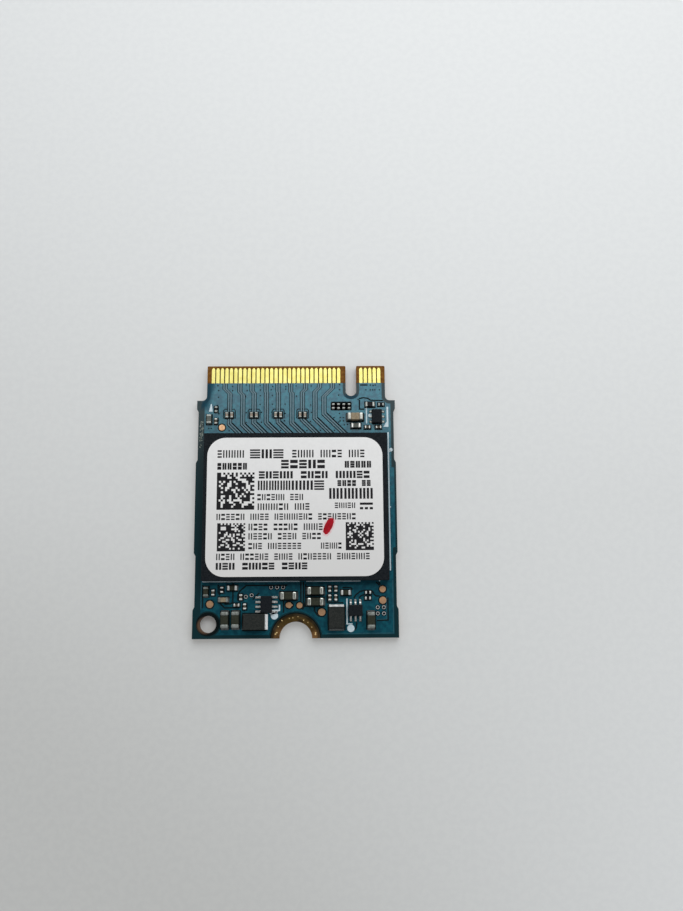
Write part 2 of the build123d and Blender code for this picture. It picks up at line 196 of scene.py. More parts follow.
def make_fine_grain():
    group, given, result = new_group(
        "fine_grain",
        [("Scale", NUMBER), ("Amount", NUMBER), ("Colour", COLOUR), ("Second colour", COLOUR)],
        [("Colour", COLOUR), ("Height", NUMBER)],
    )
    height = noise(group, given.outputs["Scale"], GRAIN_DETAIL)
    share = product(group, smooth_step(group, height, *GRAIN_EDGE), given.outputs["Amount"])
    mixed = layered(group, given.outputs["Colour"], [(share, given.outputs["Second colour"])])
    group.links.new(mixed, result.inputs["Colour"])
    group.links.new(height, result.inputs["Height"])
    return group


# %% Tarnish: a metal that is brighter in some patches and duller in others
PATCH_DETAIL = 4
PATCH_EDGE = (0.38, 0.66)


def make_tarnish():
    group, given, result = new_group(
        "tarnish",
        [("Scale", NUMBER), ("Colour", COLOUR), ("Dull colour", COLOUR)]
        + [("Gloss", NUMBER), ("Dullness", NUMBER)],
        [("Colour", COLOUR), ("Roughness", NUMBER), ("Height", NUMBER)],
    )
    patches = noise(group, given.outputs["Scale"], PATCH_DETAIL)
    share = smooth_step(group, patches, *PATCH_EDGE)
    mixed = layered(group, given.outputs["Colour"], [(share, given.outputs["Dull colour"])])
    span = maths(group, "SUBTRACT", given.outputs["Dullness"], given.outputs["Gloss"])
    rough = maths(group, "ADD", product(group, span, share), given.outputs["Gloss"])
    group.links.new(mixed, result.inputs["Colour"])
    group.links.new(rough, result.inputs["Roughness"])
    group.links.new(patches, result.inputs["Height"])
    return group


fine_grain = make_fine_grain()
tarnish = make_tarnish()
print("made groups", [group.name for group in (fine_grain, tarnish)])

# %% [markdown]
# ## The copper under the lacquer
# A board's lacquer looks pale where copper lies under it and dark where it covers bare laminate. The
# copper stops short of every edge, slot and hole. That is a question of distance, so one more group
# works out, from the place on the card, whether there is copper.

# %% Copper pour: a mask from distances to the edges, the key slot, the hole and the notch
SIDE_GAP = {"left": 0.85, "right": 0.5}
WIDE_STRETCH = (-5.4, 3.4)
WIDE_EXTRA = 0.28
END_GAP = 0.4
TONGUE_GAP = 0.38
KEY_GAP = 0.32
HOLE_GAP = 0.5
NOTCH_GAP = 0.25
POUR_BLUR = 0.12
KEY_CENTRE = (6.125, 12.05)
KEY_RADIUS = 0.6
SHOULDER_CENTRE = (10.425, 11.5)
SHOULDER_RADIUS = 0.5
HOLE_CENTRE = (-9.35, -13.47)
HOLE_RADIUS = 0.9
NOTCH_CENTRE = (0.0, CARD_END)
NOTCH_LAND = 2.6


def card_place(tree):
    """Sockets with the place on the card, across, along and above it, in millimetres."""
    where = tree.nodes.new("ShaderNodeTexCoord")
    split = tree.nodes.new("ShaderNodeSeparateXYZ")
    tree.links.new(where.outputs["Object"], split.inputs[0])
    return [maths(tree, "DIVIDE", split.outputs[axis], MM) for axis in "XYZ"]


def distance(tree, across, along):
    """The length of a step given by two sockets."""
    squares = [product(tree, step, step) for step in (across, along)]
    return maths(tree, "SQRT", maths(tree, "ADD", *squares))


def reach_from(tree, x, y, centre):
    """How far a place on the card, given by two sockets, lies from a centre."""
    return distance(tree, *(maths(tree, "SUBTRACT", *pair) for pair in zip((x, y), centre)))


def make_copper_pour():
    group, _, result = new_group("copper_pour", [], [("Mask", NUMBER)])
    x, y, _ = card_place(group)
    beside = maths(group, "ABSOLUTE", x)

    def beyond(value, limit):
        return smooth_step(group, value, limit - POUR_BLUR / 2, limit + POUR_BLUR / 2)

    def clear_of(value, start):
        return maths(group, "MAXIMUM", maths(group, "SUBTRACT", start, value), 0.0)

    from_hole = reach_from(group, x, y, HOLE_CENTRE)
    from_notch = reach_from(group, x, y, NOTCH_CENTRE)
    from_key = distance(group, maths(group, "SUBTRACT", x, KEY_CENTRE[0]), clear_of(y, KEY_CENTRE[1]))
    from_shoulder = distance(group, clear_of(beside, SHOULDER_CENTRE[0]), clear_of(y, SHOULDER_CENTRE[1]))
    on_stretch = maths(group, "SUBTRACT", *(beyond(y, end) for end in WIDE_STRETCH))
    from_right = maths(group, "SUBTRACT", x, product(group, on_stretch, WIDE_EXTRA))
    masks = [
        beyond(x, SIDE_GAP["left"] - CARD_SIDE),
        maths(group, "SUBTRACT", 1.0, beyond(from_right, CARD_SIDE - SIDE_GAP["right"])),
        beyond(y, CARD_END + END_GAP),
        beyond(from_hole, HOLE_RADIUS + HOLE_GAP),
        beyond(from_notch, NOTCH_LAND + NOTCH_GAP),
        beyond(from_key, KEY_RADIUS + KEY_GAP),
        beyond(from_shoulder, SHOULDER_RADIUS + TONGUE_GAP),
    ]
    group.links.new(product(group, *masks), result.inputs["Mask"])
    return group


copper_pour = make_copper_pour()
print("copper pour group has", len(copper_pour.nodes), "nodes")

# %% [markdown]
# ## Finishes
# Each finish is a Principled shader with its own constants, and one or two groups for what changes over
# the surface. The small helper below makes the shader and leaves the rest to each finish.

# %% Helper for finishes


def new_finish(name, roughness, metallic=0.0, specular=0.5):
    """A material with a Principled shader set to the constants given."""
    material = bpy.data.materials.new(name)
    material.use_nodes = True
    shader = material.node_tree.nodes["Principled BSDF"]
    shader.inputs["Roughness"].default_value = roughness
    shader.inputs["Metallic"].default_value = metallic
    shader.inputs["Specular IOR Level"].default_value = specular
    return material, material.node_tree, shader


def place_group(tree, group, **values):
    """Put a group in a material, with its values set by name; underscores stand for spaces."""
    node = tree.nodes.new("ShaderNodeGroup")
    node.node_tree = group
    for title, value in values.items():
        feed(tree, value, node.inputs[title.replace("_", " ")])
    return node


def add_bump(tree, shader, height, strength, depth):
    """Bump a shader by a height socket; depth is in millimetres."""
    bump = tree.nodes.new("ShaderNodeBump")
    bump.inputs["Strength"].default_value = strength
    bump.inputs["Distance"].default_value = depth * MM
    tree.links.new(height, bump.inputs["Height"])
    tree.links.new(bump.outputs["Normal"], shader.inputs["Normal"])


# %% Two kinds of finish: grained and plated


def grained(name, colour, second, scale, amount, roughness, bump=0.3, depth=0.004, specular=0.5):
    """A finish of two mingled colours with a fine bump; amount is the second colour's greatest share."""
    material, tree, shader = new_finish(name, roughness, specular=specular)
    grain = place_group(tree, fine_grain, Scale=scale, Amount=amount, Colour=colour, Second_colour=second)
    tree.links.new(grain.outputs["Colour"], shader.inputs["Base Color"])
    add_bump(tree, shader, grain.outputs["Height"], bump, depth)
    return material


def plated(name, colour, dull, scale, gloss, dullness, bump=0.15, depth=0.003, metallic=1.0):
    """A metal finish with patches of two colours; gloss and dullness are their roughness."""
    material, tree, shader = new_finish(name, gloss, metallic)
    patches = place_group(
        tree, tarnish, Scale=scale, Colour=colour, Dull_colour=dull, Gloss=gloss, Dullness=dullness
    )
    tree.links.new(patches.outputs["Colour"], shader.inputs["Base Color"])
    tree.links.new(patches.outputs["Roughness"], shader.inputs["Roughness"])
    add_bump(tree, shader, patches.outputs["Height"], bump, depth)
    return material


# %% [markdown]
# ## Lacquer
# Solder lacquer is a clear coloured film. Over copper the metal shines through it, and over bare laminate
# it is nearly black. Two materials on two meshes could show that, but the lacquer is one solid, so one
# material mixes both looks by the copper mask. A clear coat gives it the shine of a film.

# %% A mask for painted shade on the tongue
SHADE_SHARE = 0.85
SHADE_LEAN = 0.25
SHADE_LEFT = (-10.0, -9.75)
SHADE_RIGHT = (-9.4, -8.7)
SHADE_LOW = (9.7, 10.5)
KEY_SHADE_HIGH = (11.4, 11.9)
KEY_SHADE_BLUR = 0.05


def painted_tongue_shade(tree):
    """A mask for painted shade: deeper blue and less coat down the left side of the tongue and under the key
    slot.
    """
    x, y, _ = card_place(tree)
    lean = product(tree, maths(tree, "SUBTRACT", FINGER_FOOT, y), SHADE_LEAN)
    aslant = maths(tree, "ADD", x, lean)
    side = product(
        tree,
        smooth_step(tree, aslant, *SHADE_LEFT),
        smooth_step(tree, aslant, *SHADE_RIGHT, falling=True),
        smooth_step(tree, y, *SHADE_LOW),
    )
    from_key = reach_from(tree, x, y, KEY_CENTRE)
    rim = KEY_RADIUS + KEY_GAP
    under_key = product(
        tree,
        smooth_step(tree, from_key, rim - KEY_SHADE_BLUR, rim + KEY_SHADE_BLUR, falling=True),
        smooth_step(tree, y, *KEY_SHADE_HIGH, falling=True),
    )
    return product(tree, maths(tree, "MAXIMUM", side, under_key), SHADE_SHARE)


# %% Lacquer: pale and metallic over copper, dark over bare laminate
LACQUER_ON_COPPER = (0.004, 0.092, 0.14)
LACQUER_ON_COPPER_LIT = (0.009, 0.16, 0.215)
LACQUER_ON_LAMINATE = (0.005, 0.03, 0.037)
COPPER_SHINE = 0.6
BARE_COAT = 0.5
# painted shade: the deeper blue laid on the lacquer down the left of the tongue and under the key slot
PAINTED_TONGUE_SHADE = (0.003, 0.045, 0.075)
COAT_ROUGHNESS = 0.2
COAT_IOR = 1.6


def coated(shader):
    """Give a shader the clear upper skin of the lacquer."""
    shader.inputs["Coat Weight"].default_value = 1.0
    shader.inputs["Coat Roughness"].default_value = COAT_ROUGHNESS
    shader.inputs["Coat IOR"].default_value = COAT_IOR


def make_lacquer():
    material, tree, shader = new_finish("lacquer", 0.36, specular=0.1)
    coated(shader)
    grain = place_group(
        tree,
        fine_grain,
        Scale=2200.0,
        Amount=0.8,
        Colour=LACQUER_ON_COPPER,
        Second_colour=LACQUER_ON_COPPER_LIT,
    )
    pour = place_group(tree, copper_pour).outputs["Mask"]
    shade = painted_tongue_shade(tree)
    layers = [(pour, grain.outputs["Colour"]), (shade, PAINTED_TONGUE_SHADE)]
    tree.links.new(layered(tree, LACQUER_ON_LAMINATE, layers), shader.inputs["Base Color"])
    tree.links.new(product(tree, pour, COPPER_SHINE), shader.inputs["Metallic"])
    coat = maths(tree, "ADD", product(tree, pour, 1 - BARE_COAT), BARE_COAT)
    # where the painted shade lies, the clear coat is taken away too
    tree.links.new(product(tree, coat, maths(tree, "SUBTRACT", 1.0, shade)), shader.inputs["Coat Weight"])
    add_bump(tree, shader, grain.outputs["Height"], 0.2, 0.01)
    return material


def make_lacquered_trace(name, colour, second):
    material, tree, shader = new_finish(name, 0.42, metallic=COPPER_SHINE, specular=0.1)
    coated(shader)
    grain = place_group(tree, fine_grain, Scale=3000.0, Amount=0.8, Colour=colour, Second_colour=second)
    tree.links.new(grain.outputs["Colour"], shader.inputs["Base Color"])
    return material


lacquer = make_lacquer()
# partly painted highlight: the traces' finish is paler and greyer than the lacquer over the pour
lacquer_trace = make_lacquered_trace("lacquer_trace", (0.055, 0.14, 0.18), (0.08, 0.17, 0.21))
# painted highlight: a paler finish for ribbons along some edges of the copper
lacquer_edge_highlight = make_lacquered_trace("lacquer_edge_highlight", (0.05, 0.15, 0.19), (0.08, 0.19, 0.23))
lacquer_gap = grained(
    "lacquer_gap", (0.004, 0.016, 0.019), (0.003, 0.01, 0.013), 5000.0, 0.7, 0.5, specular=0.1
)
print("lacquer has", len(lacquer.node_tree.nodes), "nodes")

# %% [markdown]
# ## Laminate
# The core is glass cloth in brown resin. It shows at every cut edge, between the fingers and in the hole.
# A picture of cloth would need a map of the surface. Two crossed Wave textures give the weave without
# one, and masks from the place on the card add the darker and the gilt areas.

# %% Laminate: brown resin over a glass weave, painted shade between the fingers, dark round the hole and gilt in the notch
RESIN = (0.22, 0.095, 0.018)
RESIN_DARK = (0.12, 0.046, 0.01)
RESIN_LIT = (0.31, 0.15, 0.035)
# painted shade: darker resin between the fingers, short of their tips
PAINTED_SHADE_BETWEEN_FINGERS = (0.07, 0.045, 0.012)
FINGER_SPANS = ((-9.4, 5.0), (7.05, 9.4))
FINGER_ROUND = 14.6
# a darker brown round the hole, centred a little off it
HOLE_BROWN = (0.13, 0.078, 0.05)
HOLE_HALO_CENTRE = (-9.62, -13.6)
OPENING_DARK = (0.004, 0.008, 0.009)
WALL_GILT = (0.2, 0.12, 0.04)
WEAVE_PITCH = 0.45
WEAVE_SHARE = 0.3
WEAVE_UNEVEN = 0.6
# A Wave texture with a scale of 1 has its bands this far apart
WAVE_STEP = math.pi / 10
FACE_SKIN = (0.03, 0.01)
SPAN_BLUR = 0.1
TIP_BLUR = 0.15
HOLE_HALO_EDGE = (0.66, 1.02)
WALL_EDGE = (1.8, 1.9)


def make_laminate():
    material, tree, shader = new_finish("laminate_resin", 0.5, specular=0.06)
    grain = place_group(tree, fine_grain, Scale=2500.0, Amount=0.75, Colour=RESIN, Second_colour=RESIN_DARK)
    where = tree.nodes.new("ShaderNodeTexCoord")
    waves = []
    for direction in ("X", "Y"):
        wave = tree.nodes.new("ShaderNodeTexWave")
        wave.bands_direction = direction
        wave.inputs["Scale"].default_value = WAVE_STEP / (WEAVE_PITCH * MM)
        wave.inputs["Distortion"].default_value = WEAVE_UNEVEN
        tree.links.new(where.outputs["Object"], wave.inputs["Vector"])
        waves.append(wave.outputs["Fac"])
    weave = product(tree, *waves)
    x, y, height = card_place(tree)
    on_face = smooth_step(tree, height, *(FACE_TOP - depth for depth in FACE_SKIN))
    behind_fingers = smooth_step(tree, y, FINGER_FOOT - SPAN_BLUR, FINGER_FOOT, falling=True)
    short_of_tips = smooth_step(tree, y, FINGER_ROUND, FINGER_ROUND + TIP_BLUR, falling=True)
    spans = 0.0
    for left, right in FINGER_SPANS:
        after = smooth_step(tree, x, left, left + SPAN_BLUR)
        before = smooth_step(tree, x, right - SPAN_BLUR, right, falling=True)
        spans = maths(tree, "ADD", product(tree, after, before), spans)
    layers = [
        (product(tree, weave, WEAVE_SHARE), RESIN_LIT),
        (product(tree, spans, short_of_tips, on_face), PAINTED_SHADE_BETWEEN_FINGERS),
        (product(tree, behind_fingers, on_face), OPENING_DARK),
        (smooth_step(tree, reach_from(tree, x, y, HOLE_HALO_CENTRE), *HOLE_HALO_EDGE, falling=True), HOLE_BROWN),
        (smooth_step(tree, reach_from(tree, x, y, NOTCH_CENTRE), *WALL_EDGE, falling=True), WALL_GILT),
    ]
    tree.links.new(layered(tree, grain.outputs["Colour"], layers), shader.inputs["Base Color"])
    add_bump(tree, shader, weave, 0.2, 0.01)
    return material


laminate_resin = make_laminate()
print("laminate has", len(laminate_resin.node_tree.nodes), "nodes")

# %% [markdown]
# ## Metals, ceramics and inks
# The fingers are gold, the chips' ends tin and the test points copper. Bodies are ceramic or black
# moulding. Each could have a material built by hand, but they differ only in colours, scale and shine.
# So two helpers make them all, and a finish takes one call.

# %% Metals
gold = plated("contact_gold", (0.93, 0.86, 0.3), (0.89, 0.8, 0.24), 1500.0, 0.38, 0.46)
fleck_gold = plated("fleck_gold", (0.98, 0.74, 0.36), (0.8, 0.55, 0.22), 6000.0, 0.4, 0.55, metallic=0.4)
copper = plated("bare_copper", (0.93, 0.59, 0.35), (0.8, 0.47, 0.26), 3500.0, 0.34, 0.46)
tin = plated("tin_plate", (0.85, 0.86, 0.85), (0.7, 0.71, 0.69), 3000.0, 0.3, 0.4, bump=0.1, depth=0.003)
# partly painted shade: a rougher and darker copy of tin for the ends of chips that lie along the card
dull_shaded_tin = plated(
    "dull_shaded_tin", (0.33, 0.36, 0.34), (0.23, 0.25, 0.23), 2600.0, 0.6, 0.72, bump=0.2, metallic=0.8
)
bulk_tin = plated("bulk_tin", (0.72, 0.75, 0.69), (0.4, 0.43, 0.39), 3500.0, 0.3, 0.42, bump=0.1)
via_tin = plated("via_tin", (0.87, 0.92, 0.93), (0.7, 0.74, 0.74), 5000.0, 0.5, 0.62, metallic=0.5)
# painted shade: the solder is darkened so that its fillets look shaded
solder = plated("solder", (0.12, 0.13, 0.13), (0.07, 0.08, 0.08), 6000.0, 0.28, 0.42, bump=0.25)
print("made", len(bpy.data.materials), "materials so far")

# %% Moulding, ceramics and inks


def matt(name, colour, second, scale, amount=0.8, roughness=0.55, bump=0.4, depth=0.005):
    """A grained finish with little shine."""
    return grained(name, colour, second, scale, amount, roughness, bump, depth, specular=0.15)


mould = grained(
    "mould_compound", (0.007, 0.01, 0.013), (0.02, 0.023, 0.027), 9000.0, 0.8, 0.55, 0.4, 0.005, specular=0.06
)
substrate = matt("substrate", (0.02, 0.028, 0.02), (0.03, 0.04, 0.028), 4000.0)
ceramic = matt("grey_ceramic", (0.026, 0.03, 0.02), (0.042, 0.044, 0.03), 5200.0)
pale_ceramic = matt("pale_ceramic", (0.3, 0.25, 0.2), (0.4, 0.35, 0.29), 5200.0)
brown_ceramic = matt("brown_ceramic", (0.07, 0.06, 0.045), (0.12, 0.105, 0.08), 5200.0)
silver_ceramic = matt("silver_ceramic", (0.115, 0.13, 0.115), (0.15, 0.165, 0.15), 5200.0)
tan_ceramic = matt("tan_ceramic", (0.27, 0.215, 0.14), (0.36, 0.305, 0.21), 5200.0)
glaze = matt("resistor_glaze", (0.006, 0.006, 0.008), (0.016, 0.016, 0.018), 5000.0, roughness=0.35)
core = matt("iron_powder", (0.016, 0.019, 0.018), (0.034, 0.037, 0.034), 8000.0, bump=0.5, depth=0.008)
ink = matt("black_ink", (0.01, 0.01, 0.012), (0.022, 0.022, 0.025), 7000.0, amount=0.6)
red_ink = matt("red_ink", (0.45, 0.006, 0.018), (0.3, 0.002, 0.01), 2600.0)
pink_ink = matt("red_smear", (0.84, 0.58, 0.6), (0.84, 0.78, 0.78), 2200.0, amount=0.9)
silk = matt("silk_ink", (0.72, 0.86, 0.92), (0.6, 0.73, 0.79), 6000.0)
fibre = matt("glass_fibre", (0.42, 0.47, 0.42), (0.2, 0.25, 0.22), 9000.0, amount=0.9)
via_dark = matt("via_dark", (0.002, 0.003, 0.004), (0.006, 0.007, 0.008), 8000.0)
print("made", len(bpy.data.materials), "materials so far")

# %% [markdown]
# ## Dark gold round the notch
# The land round the screw notch is dark brown gold, amber near the card's end and darker along its outer
# rim. Its dark brown is partly painted reflection: the flat gold mirrors the dark overhead, and its colour
# is darkened to show that dark as well. Painted vertices could show these colours, but the land has few of
# them. Two masks from the place on the card mix the further colours into the plated finish instead.

# %% Notch gold: amber near the card's end, darker along its outer rim
NOTCH_RIM_DARK = (0.07, 0.06, 0.04)
NOTCH_RIM_EDGE = (2.2, 2.45)
NOTCH_RIM_SHARE = 0.8
AMBER = (0.42, 0.22, 0.09)
AMBER_EDGE = (CARD_END + 0.4, CARD_END + 1.5)
AMBER_SHARE = 0.75


def patched(material, masks):
    """Mix further colours into a finish, each by its own mask."""
    tree = material.node_tree
    target = tree.nodes["Principled BSDF"].inputs["Base Color"]
    tree.links.new(layered(tree, target.links[0].from_socket, masks(tree)), target)
    return material


def notch_masks(tree):
    """Masks for the amber near the card's end and the darker outer rim."""
    x, y, _ = card_place(tree)
    near_end = smooth_step(tree, y, *AMBER_EDGE, falling=True)
    near_rim = smooth_step(tree, reach_from(tree, x, y, NOTCH_CENTRE), *NOTCH_RIM_EDGE)
    return [(product(tree, near_end, AMBER_SHARE), AMBER), (product(tree, near_rim, NOTCH_RIM_SHARE), NOTCH_RIM_DARK)]


# partly painted reflection: the gold's dark brown also stands for the dark overhead the land mirrors
notch_gold = patched(
    plated("notch_gold", (0.3, 0.19, 0.06), (0.05, 0.034, 0.018), 900.0, 0.3, 0.5, bump=0.4, depth=0.01),
    notch_masks,
)
print("notch gold has", len(notch_gold.node_tree.nodes), "nodes")

# %% [markdown]
# ## Finishes that change along the card
# Towards the screw end the paper is darker, as painted shade, and the tin brighter, as painted highlight. The
# inductors' terminals are darkened as painted shade but for one strip towards the light, and the solder
# beside that strip has a painted highlight. A second material on some of the faces would end in a hard
# line. A soft step along one axis of the card gives each finish its second colour without one.

# %% Paper, tin, terminals and solder with painted shade and highlight
PAPER_PAINTED_SHADE = (0.79, 0.79, 0.78)
TIN_PAINTED_HIGHLIGHT = (0.96, 0.98, 0.95)
# painted shade on the inductors' terminals, all but their strip towards the light
TERMINAL_PAINTED_SHADE = (0.035, 0.037, 0.036)
TERMINAL_SHADE_EDGE = (0.1, 0.04)
# painted highlight on the solder beside each inductor's unshaded terminal strip
SOLDER_PAINTED_HIGHLIGHT = (0.95, 0.96, 0.96)
SOLDER_ASIDE = 0.2
SOLDER_UNDER = 0.05
SOLDER_REACH = (0.25, 0.35)
INDUCTORS = {"input_inductor": 0, "output_inductor": 1}


def turning(material, colour, axis, low, high):
    """Let a finish turn to another colour on the low side of an axis: 0 across the card, 1 along it."""

    def masks(tree):
        return [(smooth_step(tree, card_place(tree)[axis], low, high, falling=True), colour)]

    return patched(material, masks)


def shaded_terminals(name):
    """Tin on an inductor's two terminals; all but the outer strip on the high side, towards the light, is
    darkened as painted shade.
    """
    axis = INDUCTORS[name]
    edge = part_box(f"{name}_terminals")[1][axis] / MM
    tin_plate = plated(
        f"{name}_tin", (0.94, 0.96, 0.96), (0.82, 0.85, 0.85), 3000.0, 0.4, 0.55, bump=0.1, metallic=0.15
    )
    return turning(tin_plate, TERMINAL_PAINTED_SHADE, axis, *(edge - inset for inset in TERMINAL_SHADE_EDGE))


def solder_highlight_masks(tree):
    """Masks for painted highlight: bright solder beside the unshaded terminal strip of each inductor."""
    place = card_place(tree)
    masks = []
    for name, axis in INDUCTORS.items():
        low, high = (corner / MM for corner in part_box(f"{name}_terminals"))
        aside = maths(tree, "SUBTRACT", place[1 - axis], ((low + high) / 2)[1 - axis])
        half = ((high - low) / 2)[1 - axis]
        edge = high[axis]
        within = product(
            tree,
            smooth_step(tree, maths(tree, "ABSOLUTE", aside), half, half + SOLDER_ASIDE, falling=True),
            smooth_step(tree, place[axis], edge - SOLDER_UNDER, edge),
            smooth_step(tree, place[axis], *(edge + reach for reach in SOLDER_REACH), falling=True),
        )
        masks.append((within, SOLDER_PAINTED_HIGHLIGHT))
    return masks


paper = grained(
    "label_paper", (0.93, 0.935, 0.93), (0.89, 0.895, 0.89), 2600.0, 0.7, 0.5, 0.2, 0.004, specular=0.3
)
# painted shade: the label paper darkens towards the screw end
turning(paper, PAPER_PAINTED_SHADE, 1, PACKAGE_NEAR, PACKAGE_FAR)
dipped_tin = plated("dipped_tin", (0.68, 0.69, 0.65), (0.55, 0.56, 0.5), 1400.0, 0.36, 0.46, bump=0.08)
grey_tin = plated("grey_tin", (0.47, 0.5, 0.47), (0.37, 0.39, 0.36), 1400.0, 0.42, 0.55, bump=0.1)
bright_tin = plated("bright_tin", (0.95, 0.97, 0.94), (0.88, 0.9, 0.86), 1400.0, 0.28, 0.36, bump=0.08)
# painted highlight: these tins turn brighter towards the screw end
for metal in (dipped_tin, grey_tin):
    turning(metal, TIN_PAINTED_HIGHLIGHT, 1, PACKAGE_NEAR, PACKAGE_FAR)
input_tin, output_tin = (shaded_terminals(name) for name in INDUCTORS)
patched(solder, solder_highlight_masks)
print("made", len(bpy.data.materials), "materials")

# %% [markdown]
# ## Finishing the CAD nodes
# The solids have sharp edges. Real chip ends are dipped and their corners are round, so each node gets
# live modifiers: weld the loose triangles, dissolve the flat ones into whole faces, and bevel what is
# left. The bevel only takes material away, so no size changes.

# %% Soft edges
WELD_REACH = 0.0001
FLAT_ANGLE = math.radians(1.0)
EDGE_ANGLE = math.radians(40.0)
EDGE_STEPS = 2


def soften(node, radius):
    """Round the edges of a CAD node with live modifiers; radius is in millimetres."""
    weld = node.modifiers.new("weld", "WELD")
    weld.merge_threshold = WELD_REACH * MM
    flats = node.modifiers.new("flats", "DECIMATE")
    flats.decimate_type = "DISSOLVE"
    flats.angle_limit = FLAT_ANGLE
    bevel = node.modifiers.new("soft_edges", "BEVEL")
    bevel.width = radius * MM
    bevel.segments = EDGE_STEPS
    bevel.limit_method = "ANGLE"
    bevel.angle_limit = EDGE_ANGLE


def dress(node, material, radius=0.0):
    """Give a CAD node its finish and, where a radius is given, soft edges."""
    node.data.materials.clear()
    node.data.materials.append(material)
    if radius:
        soften(node, radius)


# %% A finish and an edge radius for each node
LEAD_RADIUS = 0.015
BODY_RADIUS = 0.02
CHIP_RADIUS = 0.01
END_RADIUS = {"bulk": 0.12, "filter": 0.05, "strap": 0.04, "coupling": 0.035, "small": 0.035}
FINISH = {
    "laminate": (laminate_resin, 0.0),
    "solder_mask_top": (lacquer, 0.0),
    "solder_mask_bottom": (lacquer, 0.0),
    "contact_fingers_top": (gold, 0.008),
    "contact_fingers_bottom": (gold, 0.008),
    "notch_plating": (notch_gold, 0.0),
    "test_points": (copper, 0.0),
    "via_rings": (via_tin, 0.0),
    "package_mould": (mould, 0.03),
    "package_substrate": (substrate, 0.0),
    "package_balls": (solder, 0.0),
    "label": (paper, 0.0),
    "solder_fillets": (solder, 0.0),
    "input_inductor_core": (core, 0.04),
    "output_inductor_core": (core, 0.04),
    "input_inductor_terminals": (input_tin, 0.03),
    "output_inductor_terminals": (output_tin, 0.03),
    "regulator_body": (mould, BODY_RADIUS),
    "power_switch_body": (mould, BODY_RADIUS),
    "supply_monitor_body": (mould, BODY_RADIUS),
    "coupling_capacitor_bodies": (pale_ceramic, CHIP_RADIUS),
    "small_capacitor_bodies": (brown_ceramic, CHIP_RADIUS),
    "small_resistor_bodies": (glaze, CHIP_RADIUS),
    "strap_resistor_body": (glaze, CHIP_RADIUS),
    "bulk_capacitor_1_body": (tan_ceramic, 0.03),
    "filter_capacitor_1_body": (silver_ceramic, BODY_RADIUS),
    "filter_capacitor_2_body": (silver_ceramic, BODY_RADIUS),
    "filter_capacitor_5_body": (tan_ceramic, BODY_RADIUS),
    "bulk_capacitor_1_ends": (dipped_tin, END_RADIUS["bulk"]),
    "filter_capacitor_1_ends": (grey_tin, END_RADIUS["filter"]),
    "filter_capacitor_2_ends": (bright_tin, END_RADIUS["filter"]),
    "filter_capacitor_5_ends": (dull_shaded_tin, END_RADIUS["filter"]),
    "supply_monitor_leads": (grey_tin, LEAD_RADIUS),
}


def lies_along(name):
    """Whether a chip's ends stand apart along the card and not across it."""
    low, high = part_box(name)
    return high.y - low.y > high.x - low.x


def finish_of(name):
    """The finish and edge radius of a node, by its name or by its kind."""
    if name in FINISH:
        return FINISH[name]
    if name.endswith("_ends"):
        kind = name.split("_")[0]
        metal = bulk_tin if kind == "bulk" else dipped_tin
        # chips lying along the card get the darker tin, as painted shade
        if kind in ("bulk", "filter") and lies_along(name):
            metal = dull_shaded_tin
        elif kind in ("coupling", "strap") or "resistor" in name:
            metal = grey_tin
        return metal, END_RADIUS[kind]
    if name.endswith("_leads"):
        return tin, LEAD_RADIUS
    return ceramic, BODY_RADIUS


for node_name, node in nodes.items():
    dress(node, *finish_of(node_name))
print("dressed", len(nodes), "nodes")

# %% [markdown]
# ## Thin sheets
# Print, lacquer relief and dots are all made the same way. A sheet starts as one plane, emptied in edit
# mode. Bars, dots and ribbons are then added to it flat, and the whole sheet is extruded upwards at the
# end, so every mark is a closed solid with its faces outwards.

# %% Helpers for a sheet, its bars and its dots


def start_sheet(name):
    """Begin an empty sheet in edit mode."""
    bpy.ops.object.select_all(action="DESELECT")
    bpy.ops.mesh.primitive_plane_add(size=MM)
    sheet = bpy.context.object
    sheet.name = sheet.data.name = name
    bpy.ops.object.mode_set(mode="EDIT")
    bpy.ops.mesh.delete(type="VERT")
    return sheet


def bar(left, low, right, high, level):
    """Add a flat rectangle to the sheet, in millimetres."""
    centre = Vector(((left + right) / 2, (low + high) / 2, level)) * MM
    bpy.ops.mesh.primitive_plane_add(size=MM, location=centre)
    bpy.ops.transform.resize(value=(right - left, high - low, 1), center_override=centre)


def dot(x, y, radius, level, sides):
    """Add a flat disc to the sheet, in millimetres."""
    bpy.ops.mesh.primitive_circle_add(
        vertices=sides, radius=radius * MM, fill_type="NGON", location=Vector((x, y, level)) * MM
    )


# %% Helpers for ribbons and four-cornered marks
SHARPEST_MITRE = 0.3


def mitred(path, width, level):
    """The left and right edge of a ribbon at each point of its path, mitred at the bends."""
    points = [Vector((x, y)) for x, y in path]
    runs = [(after - before).normalized() for before, after in zip(points, points[1:])]
    pairs = []
    for index, point in enumerate(points):
        before, after = runs[max(index - 1, 0)], runs[min(index, len(runs) - 1)]
        along = (before + after).normalized()
        reach = width / 2 / max(along.dot(after), SHARPEST_MITRE)
        aside = Vector((-along.y, along.x)) * reach
        pairs.append([Vector((*(point + side), level)) * MM for side in (aside, -aside)])
    return pairs


def new_corners(shape):
    """The corners of a plane just added at the origin: near left, near right, far left, far right."""
    return sorted((v for v in shape.verts if v.select), key=lambda v: (round(v.co.y, 6), v.co.x))


def four_corners(spots, level):
    """Add a plane with its corners moved to four places, in the order of new_corners."""
    mesh = bpy.context.object.data
    bpy.ops.mesh.primitive_plane_add(size=MM)
    shape = bmesh.from_edit_mesh(mesh)
    for corner, (x, y) in zip(new_corners(shape), spots):
        corner.co = Vector((x, y, level)) * MM
    bmesh.update_edit_mesh(mesh)


